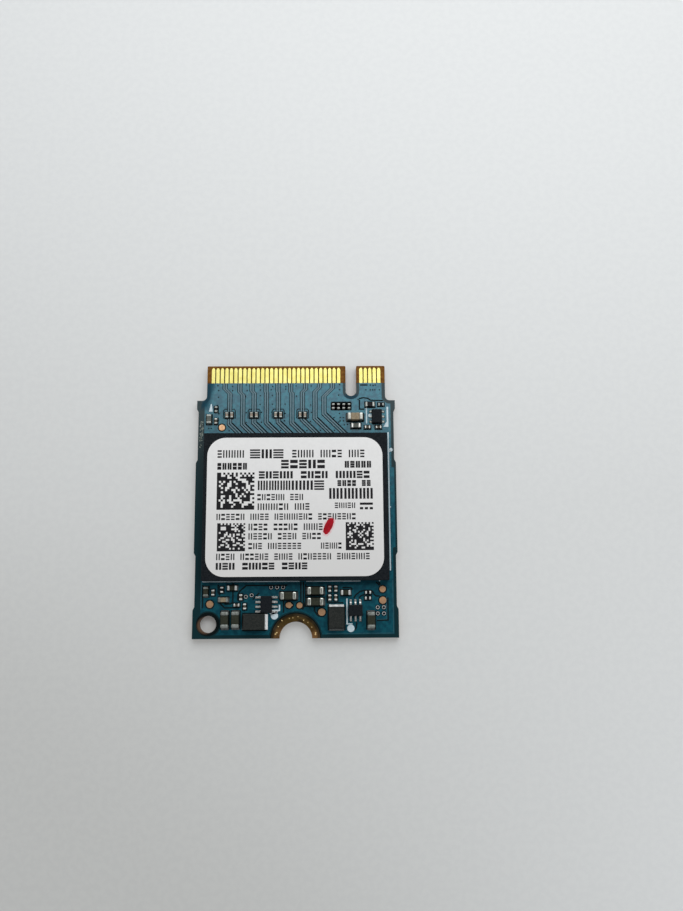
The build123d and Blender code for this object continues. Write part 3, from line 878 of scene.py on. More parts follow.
def ribbon(path, width, level):
    """Add a flat ribbon to the sheet: a plane on the first run, and its end extruded along the rest."""
    mesh = bpy.context.object.data
    pairs = mitred(path, width, level)
    bpy.ops.mesh.primitive_plane_add(size=MM)
    shape = bmesh.from_edit_mesh(mesh)
    corners = new_corners(shape)
    for corner, spot in zip(corners, (*pairs[0], *pairs[1])):
        corner.co = spot
    for corner in corners[:2]:
        corner.select_set(False)
    shape.select_flush_mode()
    bmesh.update_edit_mesh(mesh)
    for before, pair in zip(pairs[1:], pairs[2:]):
        bpy.ops.mesh.extrude_edges_move()
        shape = bmesh.from_edit_mesh(mesh)
        ends = sorted((v for v in shape.verts if v.select), key=lambda v: (v.co - before[0]).length)
        for end, spot in zip(ends, pair):
            end.co = spot
        bmesh.update_edit_mesh(mesh)


# %% Helper that raises a sheet


def finish_sheet(sheet, thickness, material):
    """Raise the flat marks into thin solids, and give the sheet its finish and its place."""
    bpy.ops.mesh.select_all(action="SELECT")
    bpy.ops.mesh.extrude_region_move(TRANSFORM_OT_translate={"value": (0, 0, thickness * MM)})
    bpy.ops.object.mode_set(mode="OBJECT")
    sheet.data.materials.append(material)
    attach(sheet, "root")
    print(sheet.name, "has", len(sheet.data.polygons), "faces")
    return sheet


# %% [markdown]
# ## Signal traces
# Behind the gold fingers, pairs of traces run down the card. Some pass through a pair of coupling
# capacitors, and all turn 45 degrees near the package and go under it. A trace is a raised ribbon with
# a dark gap on each side, and on the slanted run the two outer gaps are wider. Its paler finish is partly
# a painted highlight, for the light that raised copper catches. One table gives each pair its start, its
# jog and where it turns.

# %% Paths of the signal pairs
CAPACITOR_TOP = 9.72
CAPACITOR_FOOT = 8.9
UNDER_PACKAGE = 0.15
HALF_BEND = math.radians(22.5)
# start across the card, jog start along it, jog sideways, whether a capacitor pair breaks it, turn
PAIRS = [
    (-7.93, 12.35, 0.55, True, 8.34),
    (-6.28, 12.0, 0.35, False, 8.28),
    (-4.93, 12.1, 0.25, True, 8.46),
    (-3.36, 12.0, 0.05, False, 8.48),
    (-2.03, 12.0, 0.05, True, 8.54),
    (-0.62, 12.0, 0.15, False, 8.41),
    (1.05, 12.3, -0.35, True, 8.8),
    (2.6, 12.5, -0.5, False, 8.95),
    (4.05, 12.4, -0.95, False, 9.46),
]


def pair_paths(start, jog, shift, broken, turn, offset):
    """The path or paths of one line of a pair, from the fingers to under the package."""
    upper, lower = start + offset, start + shift + offset
    end = PACKAGE_FAR - UNDER_PACKAGE
    head = [(upper, FINGER_FOOT), (upper, jog), (lower, jog - abs(shift))]
    bend = turn + offset * math.tan(HALF_BEND)
    tail = [(lower, bend), (lower + bend - end, end)]
    if broken:
        return [head + [(lower, CAPACITOR_TOP)], [(lower, CAPACITOR_FOOT)] + tail]
    return [head + tail]


print(len(PAIRS), "pairs of signal lines")

# %% Signal traces and the gaps beside them
TRACE_WIDTH = 0.13
GAP_WIDTH = 0.08
TRACE_HEIGHT = 0.014
GAP_HEIGHT = 0.004
TRACE_OFFSETS = (-0.13, 0.13)
GAP_OFFSETS = (-0.25, 0.0, 0.25)
SLANTED_GAPS = ((-0.215, 0.12), (0.28, 0.14))

signal_gaps = start_sheet("signal_gaps")
for pair in PAIRS:
    for offset in GAP_OFFSETS:
        for path in pair_paths(*pair, offset):
            ribbon(path, GAP_WIDTH, CARD_TOP)
    for offset, width in SLANTED_GAPS:
        ribbon(pair_paths(*pair, offset)[-1][-2:], width, CARD_TOP)
finish_sheet(signal_gaps, GAP_HEIGHT, lacquer_gap)

signal_traces = start_sheet("signal_traces")
for pair in PAIRS:
    for offset in TRACE_OFFSETS:
        for path in pair_paths(*pair, offset):
            ribbon(path, TRACE_WIDTH, CARD_TOP)
finish_sheet(signal_traces, TRACE_HEIGHT, lacquer_trace)

# %% [markdown]
# ## Gaps in the copper of the power end
# Below the package the copper is cut into areas for the supply parts. Only the gaps between the areas
# show, as dark lines that bend round the parts. A few more lie behind the fingers, and a frame goes round
# each pair of coupling capacitors. A path is easier to place than a painted mask, so each gap is a thin
# ribbon. Along some edges of the copper a narrow pale ribbon is a painted highlight.

# %% Power gaps
POWER_GAP_WIDTH = 0.16
PAIR_MIDDLES = (-7.4, -4.67, -1.99, 0.72)
PAIR_FRAME = [(-0.66, 8.95), (-0.66, 9.85), (-0.5, 10.02), (0.5, 10.02), (0.66, 9.85), (0.66, 8.95)]
PAIR_FRAME_WIDTH = 0.1
POWER_GAPS = [
    [(-0.9, -9.4), (-5.3, -9.4), (-6.0, -10.0), (-6.2, -10.4), (-6.2, -11.0)],
    [(-6.72, -9.15), (-6.72, -9.3)],
    [(-6.72, -10.05), (-6.72, -11.2), (-7.0, -11.35), (-7.6, -11.35)],
    [(-8.3, -9.3), (-8.3, -10.1), (-8.1, -10.45)],
    [(-8.1, -11.25), (-7.6, -11.75), (-6.0, -11.75)],
    [(-9.95, -9.3), (-9.95, -11.8)],
    [(0.55, -9.05), (0.55, -11.15)],
    [(0.82, -9.05), (0.82, -11.1), (0.95, -11.6), (0.7, -12.0)],
    [(1.05, -9.3), (1.05, -11.7)],
    [(6.2, -10.85), (6.45, -10.45), (6.9, -10.12), (7.3, -10.02)],
    [(8.2, -10.05), (8.4, -10.45), (8.6, -10.6), (9.0, -10.62)],
    [(6.75, -10.85), (6.95, -10.6), (7.3, -10.45)],
    [(9.86, -10.75), (9.86, -13.15), (8.65, -13.2)],
    [(8.62, -9.1), (8.98, -9.5)],
    [(8.88, -9.1), (9.1, -9.4)],
    [(2.0, -11.7), (2.0, -12.1), (2.25, -12.5), (2.5, -12.7)],
    [(3.35, -10.5), (3.35, -11.3), (5.1, -11.3)],
    [(5.0, -9.7), (5.9, -9.7), (6.1, -9.9)],
    [(-3.9, -10.2), (-4.6, -10.9)],
    [(-1.3, -11.05), (-1.3, -12.3)],
    [(6.5, -13.35), (6.45, -13.9), (6.3, -14.2)],
    [(7.05, 11.05), (7.05, 9.98), (7.6, 9.98)],
    [(7.0, 11.18), (7.5, 11.3), (8.0, 11.22), (8.3, 11.0), (9.7, 10.95)],
    [(7.15, 12.76), (8.0, 12.76)],
]

power_gaps = start_sheet("power_gaps")
for path in POWER_GAPS:
    ribbon(path, POWER_GAP_WIDTH, CARD_TOP)
for middle in PAIR_MIDDLES:
    ribbon([(middle + x, y) for x, y in PAIR_FRAME], PAIR_FRAME_WIDTH, CARD_TOP)
finish_sheet(power_gaps, GAP_HEIGHT, lacquer_gap)

# %% Pale copper edges: painted highlights
EDGE_WIDTH = 0.05
EDGE_HEIGHT = 0.005
POUR_EDGE_HIGHLIGHTS = [
    [(-10.12, -9.15), (-10.12, -11.9)],
    [(10.42, PACKAGE_NEAR), (10.42, -14.52), (3.3, -14.52)],
    [(9.72, -10.7), (9.72, -13.05), (8.7, -13.08)],
    [(0.66, -9.05), (0.66, -11.1)],
]

pour_edge_highlights = start_sheet("pour_edge_highlights")
for path in POUR_EDGE_HIGHLIGHTS:
    ribbon(path, EDGE_WIDTH, CARD_TOP)
finish_sheet(pour_edge_highlights, EDGE_HEIGHT, lacquer_edge_highlight)

# %% [markdown]
# ## Gaps round the soldered parts
# The copper keeps clear of each part's lands, so a dark frame shows round every chip. The frames are
# wide enough to stand also for the shade round each chip: partly painted shade. The frames follow the
# solids: each node's mesh is split into its separate solids, and bodies and ends that touch are one chip.

# %% Solids and footprints
TOUCH = 0.002


def solids_of(name):
    """The low and high corner, in millimetres, of each separate solid of a node."""
    mesh = nodes[name].data
    owner = {}

    def root(key):
        while owner.setdefault(key, key) != key:
            key = owner[key]
        return key

    keys = [tuple(round(c / MM, 4) for c in vertex.co) for vertex in mesh.vertices]
    for face in mesh.polygons:
        first, *others = (root(keys[index]) for index in face.vertices)
        for other in others:
            owner[root(other)] = root(first)
    groups = {}
    for key in set(keys):
        groups.setdefault(root(key), []).append(key)
    return [
        (tuple(min(axis) for axis in zip(*group)), tuple(max(axis) for axis in zip(*group)))
        for _, group in sorted(groups.items())
    ]


def middle_and_half(low, high):
    """A solid's middle, and half its size, across and along the card."""
    sides = list(zip(low, high))[:2]
    return [(a + b) / 2 for a, b in sides], [(b - a) / 2 for a, b in sides]


def footprints(body_name, ends_name):
    """One footprint for each chip: its body and the ends that touch it."""
    ends = solids_of(ends_name)
    found = []
    for low, high in solids_of(body_name):
        boxes = [(low, high)]
        for end_low, end_high in ends:
            if all(a <= d + TOUCH and c <= b + TOUCH for a, b, c, d in zip(low, high, end_low, end_high)):
                boxes.append((end_low, end_high))
        found.append(
            (
                min(box[0][0] for box in boxes),
                min(box[0][1] for box in boxes),
                max(box[1][0] for box in boxes),
                max(box[1][1] for box in boxes),
            )
        )
    return found


print("the card has", len(solids_of("test_points")), "test points")

# %% Land gaps
LAND_GAP_AND_SHADE = 0.14
LEAD_GAP = 0.06
POINT_GAP = 0.1
POINT_RIM = 0.03
POINT_TURNS = [math.radians(angle) for angle in range(0, 361, 15)]
# partly painted shade: one dark bar under the whole row of four small resistors
ROW_GAP_AND_SHADE = (3.9, 9.84, 6.15, 10.86)

land_gaps_and_shade = start_sheet("land_gaps_and_shade")
chip_names = sorted(name for name in nodes if name.endswith(("_ends", "_terminals")))
for ends_name in chip_names:
    stem = ends_name.rsplit("_", 1)[0]
    body_name = next(n for n in (f"{stem}_body", f"{stem}_bodies", f"{stem}_core") if n in nodes)
    for left, low, right, high in footprints(body_name, ends_name):
        bar(left - LAND_GAP_AND_SHADE, low - LAND_GAP_AND_SHADE, right + LAND_GAP_AND_SHADE, high + LAND_GAP_AND_SHADE, CARD_TOP)
for leads_name in sorted(name for name in nodes if name.endswith("_leads")):
    for low, high in solids_of(leads_name):
        bar(low[0] - LEAD_GAP, low[1] - LEAD_GAP, high[0] + LEAD_GAP, high[1] + LEAD_GAP, CARD_TOP)
for low, high in solids_of("test_points"):
    (x, y), half = middle_and_half(low, high)
    across, along = (side + POINT_GAP / 2 - POINT_RIM for side in half)
    path = [(x + across * math.cos(turn), y + along * math.sin(turn)) for turn in POINT_TURNS]
    ribbon(path, POINT_GAP, CARD_TOP)
bar(*ROW_GAP_AND_SHADE, CARD_TOP)
finish_sheet(land_gaps_and_shade, GAP_HEIGHT / 2, lacquer_gap)

# %% [markdown]
# ## Tented vias
# Between the traces the copper layers are stitched together by many small vias, covered by lacquer and
# seen as dark dots. They stand in loose columns, so a loop places them with a little seeded scatter.

# %% Tented vias
VIA_RADIUS = 0.085
VIA_SIDES = 8
VIA_COLUMNS = (-8.65, -5.55, -3.95, -2.68, -1.2, 0.05, 1.7, 4.85)
VIA_ROWS = (12.7, 12.2, 11.5, 10.55, 9.6, 8.62)
VIA_CLUSTER = [(x, 9.03) for x in (4.2, 4.9, 5.25)] + [(4.9, 8.65), (5.25, 8.65), (5.36, 8.2), (5.7, 8.25)]
TONGUE_VIAS = [(x, 12.2) for x in (7.8, 8.3, 8.55, 8.8, 9.3)] + [(8.3, 12.75), (8.6, 12.7), (8.85, 12.75)]
LOW_VIAS = [(x, 7.58) for x in (-7.4, -1.7, 1.2, 2.7, 4.25)]
ODD_VIAS = [(-9.66, 7.85), (-9.38, 7.85), (6.9, 11.1), (-7.1, 12.65), (-7.1, 12.15)]
SCATTER = 0.12
VIA_CHANCE = 0.8
VIA_HEIGHT = GAP_HEIGHT * 1.5

rng = random.Random(7)
via_spots = []
for column in VIA_COLUMNS:
    for row in VIA_ROWS:
        if rng.random() < VIA_CHANCE:
            via_spots.append([place + rng.uniform(-SCATTER, SCATTER) for place in (column, row)])
via_spots += VIA_CLUSTER + TONGUE_VIAS + LOW_VIAS + ODD_VIAS
tented_vias = start_sheet("tented_vias")
for x, y in via_spots:
    dot(x, y, VIA_RADIUS, CARD_TOP, VIA_SIDES)
finish_sheet(tented_vias, VIA_HEIGHT, lacquer_gap)

# %% [markdown]
# ## Open vias
# A few vias aren't covered by lacquer and show as a tinned ring with a dark hole. A real hole would have to
# be cut through the board's solid, so a dark disc in the middle of each ring stands for it; its near black
# is painted shade for the depth of the hole.

# %% Dark holes in the via rings
VIA_HOLE = 0.75
RING_SIDES = 12

via_rings = [middle_and_half(low, high) for low, high in solids_of("via_rings")]
via_holes = start_sheet("via_holes")
for (x, y), half in via_rings:
    dot(x, y, half[0] * VIA_HOLE, CARD_TOP, RING_SIDES)
finish_sheet(via_holes, GAP_HEIGHT, via_dark)

# %% [markdown]
# ## The underside
# A via is a plated hole through the whole board, so the same dots show on the other face, with a loose
# grid of more of them below the package. A few lines run from the fingers there to a via. Sheets are
# raised upwards, so on this face they start just below it and end on it.

# %% Places of vias and lines on the underside
UNDER_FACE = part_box("solder_mask_bottom")[0].z / MM
UNDER_GAP_WIDTH = 0.3
UNDER_LINE_HEIGHT = GAP_HEIGHT * 2
UNDER_PAD = 0.19
GRID_PITCH = 1.3
GRID_REACH = 5
GRID_MIDDLE = -1.3
GRID_CHANCE = 0.55
UNDER_LINES = [
    [(-8.0, FINGER_FOOT), (-8.0, 11.7), (-7.2, 10.9), (-7.2, 6.6)],
    [(-7.5, FINGER_FOOT), (-7.5, 11.9), (-6.7, 11.1), (-6.7, 7.3)],
    [(-5.0, FINGER_FOOT), (-5.0, 11.2), (-5.9, 10.3), (-5.9, 7.9)],
    [(-2.5, FINGER_FOOT), (-2.5, 10.2), (-1.9, 9.6), (-1.9, 5.2)],
    [(-2.0, FINGER_FOOT), (-2.0, 10.4), (-1.4, 9.8), (-1.4, 5.6)],
    [(1.0, FINGER_FOOT), (1.0, 11.1), (2.1, 10.0), (2.1, 6.4)],
    [(3.5, FINGER_FOOT), (3.5, 11.9), (3.0, 11.4), (3.0, 8.2)],
    [(8.0, FINGER_FOOT), (8.0, 11.4), (7.4, 10.8), (7.4, -3.2), (8.4, -4.2), (8.4, -8.6)],
]

under_rng = random.Random(11)
grid_spots = []
for column in range(-GRID_REACH, GRID_REACH + 1):
    for row in range(-GRID_REACH, GRID_REACH + 1):
        if under_rng.random() < GRID_CHANCE:
            spot = (column * GRID_PITCH, row * GRID_PITCH + GRID_MIDDLE)
            grid_spots.append([place + under_rng.uniform(-SCATTER, SCATTER) for place in spot])
ring_spots = [middle for middle, half in via_rings]
line_ends = [path[-1] for path in UNDER_LINES]


def clear_of_lines(x, y):
    """Whether a via keeps its distance from the lines on the underside."""
    for path in UNDER_LINES:
        corners = [Vector(corner) for corner in path]
        for start, end in zip(corners, corners[1:]):
            run, step = end - start, Vector((x, y)) - start
            along = min(max(step.dot(run) / run.length_squared, 0), 1)
            if (step - run * along).length < UNDER_GAP_WIDTH:
                return False
    return True


under_spots = [spot for spot in via_spots + grid_spots + ring_spots if clear_of_lines(*spot)]
print(len(under_spots), "vias and", len(UNDER_LINES), "lines on the underside")

# %% Vias and lines on the underside
under_gaps = start_sheet("under_gaps")
for path in UNDER_LINES:
    ribbon(path, UNDER_GAP_WIDTH, UNDER_FACE - GAP_HEIGHT)
for x, y in under_spots:
    dot(x, y, VIA_RADIUS, UNDER_FACE - GAP_HEIGHT, VIA_SIDES)
finish_sheet(under_gaps, GAP_HEIGHT, lacquer_gap)

under_lines = start_sheet("under_lines")
for path in UNDER_LINES:
    ribbon(path, TRACE_WIDTH, UNDER_FACE - UNDER_LINE_HEIGHT)
for x, y in line_ends:
    dot(x, y, UNDER_PAD, UNDER_FACE - UNDER_LINE_HEIGHT, RING_SIDES)
finish_sheet(under_lines, UNDER_LINE_HEIGHT, lacquer_trace)

# painted shade: dark discs stand for the holes in the pads where the lines end
under_holes = start_sheet("under_holes")
for x, y in line_ends:
    dot(x, y, VIA_RADIUS, UNDER_FACE - UNDER_LINE_HEIGHT - GAP_HEIGHT / 2, VIA_SIDES)
finish_sheet(under_holes, GAP_HEIGHT / 2, lacquer_gap)

# %% [markdown]
# ## Silk print
# White ink marks a few corners, the first pins and the package's outline. It is a thin layer on the
# lacquer, so it is one sheet of bars, dots and a few four-cornered shapes.

# %% Silk print
SILK_HEIGHT = 0.012
SILK_SIDES = 28
SILK_BARS = [
    (7.76, 8.36, 7.89, 10.15),
    (10.06, 7.95, 10.25, 10.23),
    (-3.05, -12.12, -1.66, -11.98),
    (-1.81, -11.98, -1.66, -11.46),
    (5.4, -13.58, 5.55, -10.84),
    (5.55, -13.58, 6.05, -13.46),
    (-10.02, -9.03, 0.4, -8.95),
    (1.12, -9.04, 6.95, -8.96),
    (10.13, -7.9, 10.26, 7.35),
]
SILK_DOTS = [
    (-2.27, -12.62, 0.39),
    (5.87, -13.99, 0.39),
    (10.47, 5.36, 0.2),
    (10.3, -1.0, 0.07),
    (9.0, -8.97, 0.07),
    (8.2, 9.25, 0.2),
]
# near left, near right, far left and far right corner
ARROW = [(-9.67, 9.76), (-9.25, 9.76), (-9.46, 10.62), (-9.38, 10.62)]
FLAG = [(-2.64, -12.5), (-1.98, -12.38), (-3.02, -12.14), (-1.86, -12.14)]
FOOT = [(9.7, 7.95), (10.06, 7.95), (10.02, 8.5), (10.06, 8.5)]
STALK = [(10.24, 5.02), (10.42, 5.18), (10.24, 5.2), (10.4, 5.34)]

silk_print = start_sheet("silk_print")
for left, low, right, high in SILK_BARS:
    bar(left, low, right, high, CARD_TOP)
for x, y, radius in SILK_DOTS:
    dot(x, y, radius, CARD_TOP, SILK_SIDES)
for spots in (ARROW, FLAG, FOOT, STALK):
    four_corners(spots, CARD_TOP)
finish_sheet(silk_print, SILK_HEIGHT, silk)

# %% [markdown]
# ## The plated notch
# The land round the screw notch is stitched with vias too. On the dull gold they show as bright flecks,
# set on an arc.

# %% Flecks on the notch land
FLECK_ARC = 2.25
FLECK_ANGLES = (11, 15, 34, 52, 66, 84, 98, 108, 128, 146, 163, 168)
FLECK_SCATTER = 0.18
FLECK_RADIUS = 0.06
FLECK_SPREAD = (0.8, 1.2)
FLECK_SIDES = 7
END_FLECK = 0.1
END_ANGLE = 20

notch_flecks = start_sheet("notch_flecks")
for angle in FLECK_ANGLES:
    reach = FLECK_ARC + rng.uniform(-FLECK_SCATTER, FLECK_SCATTER)
    turn = math.radians(angle)
    x, y = reach * math.cos(turn), CARD_END + reach * math.sin(turn)
    size = FLECK_RADIUS if END_ANGLE < angle < 180 - END_ANGLE else END_FLECK
    dot(x, y, size * rng.uniform(*FLECK_SPREAD), LAND_TOP, FLECK_SIDES)
finish_sheet(notch_flecks, GAP_HEIGHT, fleck_gold)

# %% [markdown]
# ## Frayed edge
# Where the router cut the left side, the lacquer is chipped and pale glass fibre shows. A noise mask could
# break up the lacquer, but seeded dots with few sides are easier to keep to the one stretch.

# %% Fibre flecks along the left side
# low limit, high limit and most common value
FRAY_ACROSS = (-10.7, -10.25, -10.55)
FRAY_ALONG = (5.6, 8.8, 7.4)
FRAY_RADIUS = (0.03, 0.085)
FRAY_SIDES = 5
FRAY_COUNT = 64

frayed_edge = start_sheet("frayed_edge")
for _ in range(FRAY_COUNT):
    x, y = rng.triangular(*FRAY_ACROSS), rng.triangular(*FRAY_ALONG)
    dot(x, y, rng.uniform(*FRAY_RADIUS), CARD_TOP, FRAY_SIDES)
finish_sheet(frayed_edge, GAP_HEIGHT, fibre)

# %% [markdown]
# ## The label
# The paper label is a plain sheet with well rounded corners. It stands in for the simpler label of the
# frame: one plane whose corners are bevelled in edit mode, raised to the label's own thickness.

# %% Label sheet
LABEL_TRIM = {"left": 0.085, "right": 0.085, "upper": 0.09, "lower": -0.05}
LABEL_CORNER = 2.0
CORNER_STEPS = 10

label_sheet = start_sheet("label_sheet")
bar(
    label_low.x / MM + LABEL_TRIM["left"],
    label_low.y / MM + LABEL_TRIM["lower"],
    label_high.x / MM - LABEL_TRIM["right"],
    label_high.y / MM - LABEL_TRIM["upper"],
    label_low.z / MM,
)
bpy.ops.mesh.bevel(offset=LABEL_CORNER * MM, segments=CORNER_STEPS, affect="VERTICES")
finish_sheet(label_sheet, (label_high.z - label_low.z) / MM, paper)
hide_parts("label")

# %% [markdown]
# ## The label's print
# A label like this one is covered in rows of fine print. Here the rows are plain marks: upright strokes
# and stacked dashes. They have the size and weight of printed lines, and spell nothing. Each row is
# measured from the label's upper left corner.

# %% Rows and weights of the print
LABEL_LEFT = label_low.x / MM
LABEL_UPPER = label_high.y / MM
PRINT_HEIGHT = 0.003
FIRST_SPACE = (3, 7)
NEXT_SPACE = (4, 8)
UNBROKEN_END = 2
PITCH = {"light": 0.76, "medium": 0.8, "heavy": 0.94, "dense": 1.2}
MARK_SHARE = {"light": 0.76, "medium": 0.78, "heavy": 0.84, "dense": 0.88}
INK_SHARE = {"light": 0.65, "medium": 0.92, "heavy": 0.78, "dense": 0.7}
# distance below the upper edge, height, then left, right and weight of each run
ROWS = [
    (1.89, 0.84, [(1.2, 4.2, "light"), (9.3, 17.3, "light")]),
    (1.89, 1.0, [(4.72, 8.5, "dense")]),
    (3.25, 0.74, [(1.2, 4.52, "medium")]),
    (3.09, 0.75, [(15.0, 18.0, "medium")]),
    (3.04, 0.95, [(8.1, 13.0, "heavy")]),
    (4.21, 0.8, [(5.7, 17.8, "heavy")]),
    (5.15, 0.66, [(14.2, 17.9, "medium")]),
    (5.36, 1.04, [(5.6, 12.9, "dense")]),
    (6.28, 1.18, [(13.3, 18.2, "dense")]),
    (6.64, 0.68, [(5.55, 10.6, "light")]),
    (7.68, 0.72, [(5.6, 11.3, "light")]),
    (7.57, 0.6, [(13.9, 16.2, "light")]),
    (8.76, 0.68, [(1.2, 16.25, "light")]),
    (9.86, 0.72, [(4.65, 12.7, "light")]),
    (10.86, 0.68, [(4.65, 12.5, "light")]),
    (11.9, 0.66, [(4.65, 10.4, "light"), (12.4, 14.7, "light")]),
    (13.03, 0.68, [(1.25, 17.7, "light")]),
    (14.03, 0.73, [(1.22, 11.05, "heavy")]),
]
print(len(ROWS), "rows of print")

# %% Upright strokes and stacked dashes


def strokes(length, count, share):
    """The start and end of each of several strokes that fill a share of a length."""
    thick = length * share / count
    step = (length - thick) / (count - 1)
    return [(index * step, index * step + thick) for index in range(count)]


def uprights(left, low, width, height, count, share):
    """Upright bars side by side that fill a share of the width."""
    for start, end in strokes(width, count, share):
        bar(left + start, low, left + end, low + height, LABEL_TOP)


def dashes(left, low, width, height, count, share):
    """Level bars above each other that fill a share of the height."""
    for start, end in strokes(height, count, share):
        bar(left, low + start, left + width, low + end, LABEL_TOP)


# kind of mark and number of bars
MARKS = {
    "light": [(uprights, 2), (dashes, 3), (uprights, 2), (dashes, 3), (dashes, 2)],
    "medium": [(uprights, 2), (dashes, 3), (dashes, 2)],
    "heavy": [(uprights, 2), (dashes, 2), (dashes, 3), (uprights, 2)],
    "dense": [(uprights, 4), (dashes, 4), (uprights, 3)],
}

# %% Print the rows


def print_run(left, right, drop, height, weight):
    """Fill one run of a row with marks, with a space after every few."""
    places = round((right - left) / (PITCH[weight] * height))
    pitch = (right - left) / places
    width = MARK_SHARE[weight] * pitch
    low = LABEL_UPPER - drop - height / 2
    until_space = rng.randint(*FIRST_SPACE)
    for place in range(places):
        if until_space == 0 and weight != "dense" and place < places - UNBROKEN_END:
            until_space = rng.randint(*NEXT_SPACE)
            continue
        shape, count = rng.choice(MARKS[weight])
        shape(LABEL_LEFT + left + place * pitch, low, width, height, count, INK_SHARE[weight])
        until_space -= 1


label_print = start_sheet("label_print")
for drop, height, runs in ROWS:
    for left, right, weight in runs:
        print_run(left, right, drop, height, weight)

# The mark for direct current: a line over three dashes, half a dash apart
SUPPLY_LEFT = LABEL_LEFT + 16.6
SUPPLY_RIGHT = LABEL_LEFT + 18.0
SUPPLY_Y = LABEL_UPPER - 7.53
SUPPLY_STROKE = 0.25
DASH_Y = SUPPLY_Y - 0.49
DASH_COUNT = 3
DASH_STEP = 1.5
bar(SUPPLY_LEFT, SUPPLY_Y, SUPPLY_RIGHT, SUPPLY_Y + SUPPLY_STROKE, LABEL_TOP)
dash = (SUPPLY_RIGHT - SUPPLY_LEFT) / (1 + (DASH_COUNT - 1) * DASH_STEP)
for count in range(DASH_COUNT):
    dash_left = SUPPLY_LEFT + count * DASH_STEP * dash
    bar(dash_left, DASH_Y, dash_left + dash, DASH_Y + SUPPLY_STROKE, LABEL_TOP)
finish_sheet(label_print, PRINT_HEIGHT, ink)

# %% [markdown]
# ## Code squares
# A code square is a grid with some cells left out. Blender's grid primitive gives the cells, and a seeded
# coin says which faces to delete, so the squares hold no message.

# %% Code squares
# left, distance below the upper edge, side, cells a side, chance that a cell is dark
CODES = [(1.18, 3.94, 4.05, 18, 0.65), (1.3, 9.44, 3.0, 16, 0.64), (15.05, 9.4, 3.0, 16, 0.72)]


def code_square(left, drop, side, cells, chance):
    """Add a grid to the sheet and delete the faces that a coin leaves white."""
    mesh = bpy.context.object.data
    low_x, low_y = LABEL_LEFT + left, LABEL_UPPER - drop - side
    centre = Vector((low_x + side / 2, low_y + side / 2, LABEL_TOP)) * MM
    bpy.ops.mesh.primitive_grid_add(
        x_subdivisions=cells, y_subdivisions=cells, size=side * MM, location=centre
    )
    bpy.ops.mesh.select_mode(type="FACE")
    shape = bmesh.from_edit_mesh(mesh)
    shape.faces.ensure_lookup_table()
    chosen = [face for face in shape.faces if face.select]
    bpy.ops.mesh.select_all(action="DESELECT")
    for face in sorted(chosen, key=lambda f: tuple(round(c / MM, 3) for c in f.calc_center_median())):
        middle = face.calc_center_median() / MM
        column, row = int((middle.x - low_x) / side * cells), int((middle.y - low_y) / side * cells)
        dark = rng.random() < chance
        if column == 0 or row == 0:
            dark = True
        elif column == cells - 1 or row == cells - 1:
            dark = (column + row) % 2 == 0
        if not dark:
            face.select_set(True)
    bmesh.update_edit_mesh(mesh)
    bpy.ops.mesh.delete(type="FACE")
    bpy.ops.mesh.select_mode(type="VERT")


code_squares = start_sheet("code_squares")
for code in CODES:
    code_square(*code)
finish_sheet(code_squares, PRINT_HEIGHT, ink)

# %% [markdown]
# ## The red ink dab
# The label is marked with a red pen: a slanted dab with a faint smear round it. Each starts as a disc
# that is stretched and turned, and its rim is made uneven by moving its vertices.

# %% Red ink dab and its smear
DAB_LEFT = 13.21
DAB_DROP = 9.8
DAB_SLANT = math.radians(65.0)
DAB_BLUNTNESS = 2.5
DAB_LAYER = PRINT_HEIGHT * 1.4
SMEAR_LAYER = PRINT_HEIGHT * 0.5


def dab(name, length, width, sides, uneven, thickness, material):
    """A slanted oval of ink on the label."""
    sheet = start_sheet(name)
    centre = Vector((LABEL_LEFT + DAB_LEFT, LABEL_UPPER - DAB_DROP, LABEL_TOP)) * MM
    bpy.ops.mesh.primitive_circle_add(vertices=sides, radius=MM / 2, fill_type="NGON", location=centre)
    shape = bmesh.from_edit_mesh(sheet.data)
    slant = Matrix.Rotation(DAB_SLANT, 3, "Z")
    for vertex in shape.verts:
        spoke = (vertex.co - centre).normalized()
        blunt = (abs(spoke.x) ** DAB_BLUNTNESS + abs(spoke.y) ** DAB_BLUNTNESS) ** (-1 / DAB_BLUNTNESS)
        reach = blunt * (1 + rng.uniform(-uneven, uneven)) * MM / 2
        vertex.co = centre + slant @ Vector((spoke.x * length * reach, spoke.y * width * reach, 0))
    bmesh.update_edit_mesh(sheet.data)
    return finish_sheet(sheet, thickness, material)


dab("ink_smear", length=2.25, width=1.12, sides=30, uneven=0.1, thickness=SMEAR_LAYER, material=pink_ink)
dab("ink_dab", length=1.88, width=0.8, sides=36, uneven=0.05, thickness=DAB_LAYER, material=red_ink)

# %% [markdown]
# ## Floor and light
# The card lies on a pale, finely pebbled surface. A broad lamp stands past the connector end, so shadows
# fall towards the screw end and the lacquer near the fingers shines paler. The world is a plain cove,
# bright at the horizon and dark straight above, where the camera is.

# %% Floor material, with painted light and shade
# painted light: part of the floor as the camera sees it is emission, darker at the near left and brighter at
# the far right
FLOOR_GLOW = 0.38
FLOOR_NEAR = (0.39, 0.39, 0.365)
FLOOR_FAR = (0.87, 0.9, 0.91)
FLOOR_FADE = (-70.0, 60.0)
FLOOR_SLANT = 0.35
FLOOR_TWIST = 0.03
OPENING_DIM = 0.7
HOLE_FADE = (0.85, 1.3)
KEY_FADE = (0.6, 0.9)
KEY_START = (11.0, 11.6)
KEY_END = (14.6, 15.4)


def painted_shade_in_openings(tree, x, y):
    """A mask for painted shade: where the floor shows through the corner hole and the key slot, its painted
    light is dimmed.
    """
    from_key = maths(tree, "ABSOLUTE", maths(tree, "SUBTRACT", x, KEY_CENTRE[0]))
    key = product(
        tree,
        smooth_step(tree, from_key, *KEY_FADE, falling=True),
        smooth_step(tree, y, *KEY_START),
        smooth_step(tree, y, *KEY_END, falling=True),
    )
    hole = smooth_step(tree, reach_from(tree, x, y, HOLE_CENTRE), *HOLE_FADE, falling=True)
    return maths(tree, "MAXIMUM", key, hole)


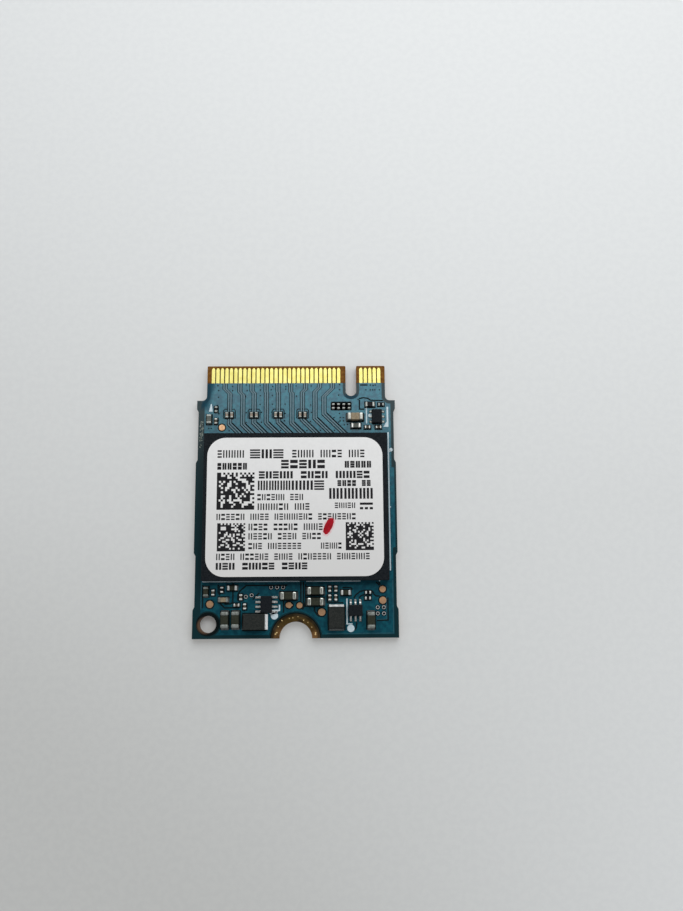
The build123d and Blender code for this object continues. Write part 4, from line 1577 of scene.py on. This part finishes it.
def make_pebbles():
    """A grained floor that camera, glossy and transmission rays see partly as emission: painted light in a
    gradient that keeps its shadows light, dimmed in the openings as painted shade.
    """
    material = grained(
        "pale_floor", (0.75, 0.77, 0.775), (0.79, 0.81, 0.81), 1500.0, 0.8, 0.6, 0.25, 0.03, specular=0.2
    )
    tree = material.node_tree
    x, y, _ = card_place(tree)
    nearer = maths(tree, "MAXIMUM", product(tree, y, -FLOOR_TWIST), 0.0)
    slant = product(tree, x, maths(tree, "ADD", nearer, FLOOR_SLANT))
    far = smooth_step(tree, maths(tree, "ADD", slant, y), *FLOOR_FADE)
    glow = tree.nodes.new("ShaderNodeEmission")
    tree.links.new(layered(tree, FLOOR_NEAR, [(far, FLOOR_FAR)]), glow.inputs["Color"])
    path = tree.nodes.new("ShaderNodeLightPath")
    seen = path.outputs["Is Camera Ray"]
    for kind in ("Is Glossy Ray", "Is Transmission Ray"):
        seen = maths(tree, "MAXIMUM", seen, path.outputs[kind])
    dimming = product(tree, painted_shade_in_openings(tree, x, y), OPENING_DIM * FLOOR_GLOW)
    share = maths(tree, "SUBTRACT", FLOOR_GLOW, dimming)
    blend = tree.nodes.new("ShaderNodeMixShader")
    tree.links.new(product(tree, seen, share), blend.inputs[0])
    tree.links.new(tree.nodes["Principled BSDF"].outputs[0], blend.inputs[1])
    tree.links.new(glow.outputs[0], blend.inputs[2])
    tree.links.new(blend.outputs[0], tree.nodes["Material Output"].inputs["Surface"])
    return material


pebbles = make_pebbles()
print("floor material has", len(pebbles.node_tree.nodes), "nodes")

# %% Floor
FLOOR_SIZE = 3.0
FLOOR_DROP = 0.02
bpy.ops.object.select_all(action="DESELECT")
bpy.ops.mesh.primitive_plane_add(size=FLOOR_SIZE, location=(0, 0, -FLOOR_DROP * MM))
floor = bpy.context.object
floor.name = "floor"
floor.data.materials.append(pebbles)
print("floor is", FLOOR_SIZE, "m wide")

# %% Lamp
LAMP_PLACE = Vector((0.03, 0.095, 0.105))
LAMP_WIDTH = 0.14
LAMP_DEPTH = 0.155
LAMP_POWER = 0.115
bpy.ops.object.light_add(type="AREA")
lamp = bpy.context.object
lamp.data.shape = "RECTANGLE"
lamp.data.size = LAMP_WIDTH
lamp.data.size_y = LAMP_DEPTH
lamp.data.energy = LAMP_POWER
aim(lamp, LAMP_PLACE, Vector((LAMP_PLACE.x, 0, 0)))
print("lamp of", LAMP_POWER, "W at", [round(c, 2) for c in LAMP_PLACE])

# %% World: a pale horizon, a bright side towards the lamp, and a dark ceiling
HORIZON = (0.78, 0.79, 0.8)
BRIGHT_SIDE = (0.78, 0.785, 0.79)
DARK_SIDE = (0.42, 0.42, 0.425)
CEILING = (0.025, 0.025, 0.027)
BRIGHT_WAY = (0.45, 0.89)
SIDE_FADE = (-0.5, 0.6)
HORIZON_FADE = (0.05, 0.2)
CEILING_FADE = (0.82, 0.95)


def make_world():
    world = bpy.data.worlds.new("cove")
    world.use_nodes = True
    tree = world.node_tree
    where = tree.nodes.new("ShaderNodeTexCoord")
    split = tree.nodes.new("ShaderNodeSeparateXYZ")
    tree.links.new(where.outputs["Generated"], split.inputs[0])
    x, y, z = (split.outputs[axis] for axis in "XYZ")
    side = maths(tree, "ADD", *(product(tree, *pair) for pair in zip((x, y), BRIGHT_WAY)))
    layers = [
        (smooth_step(tree, side, *SIDE_FADE), BRIGHT_SIDE),
        (smooth_step(tree, z, *HORIZON_FADE, falling=True), HORIZON),
        (smooth_step(tree, z, *CEILING_FADE), CEILING),
    ]
    tree.links.new(layered(tree, DARK_SIDE, layers), tree.nodes["Background"].inputs["Color"])
    return world


bpy.context.scene.world = make_world()
print("world has", len(bpy.context.scene.world.node_tree.nodes), "nodes")
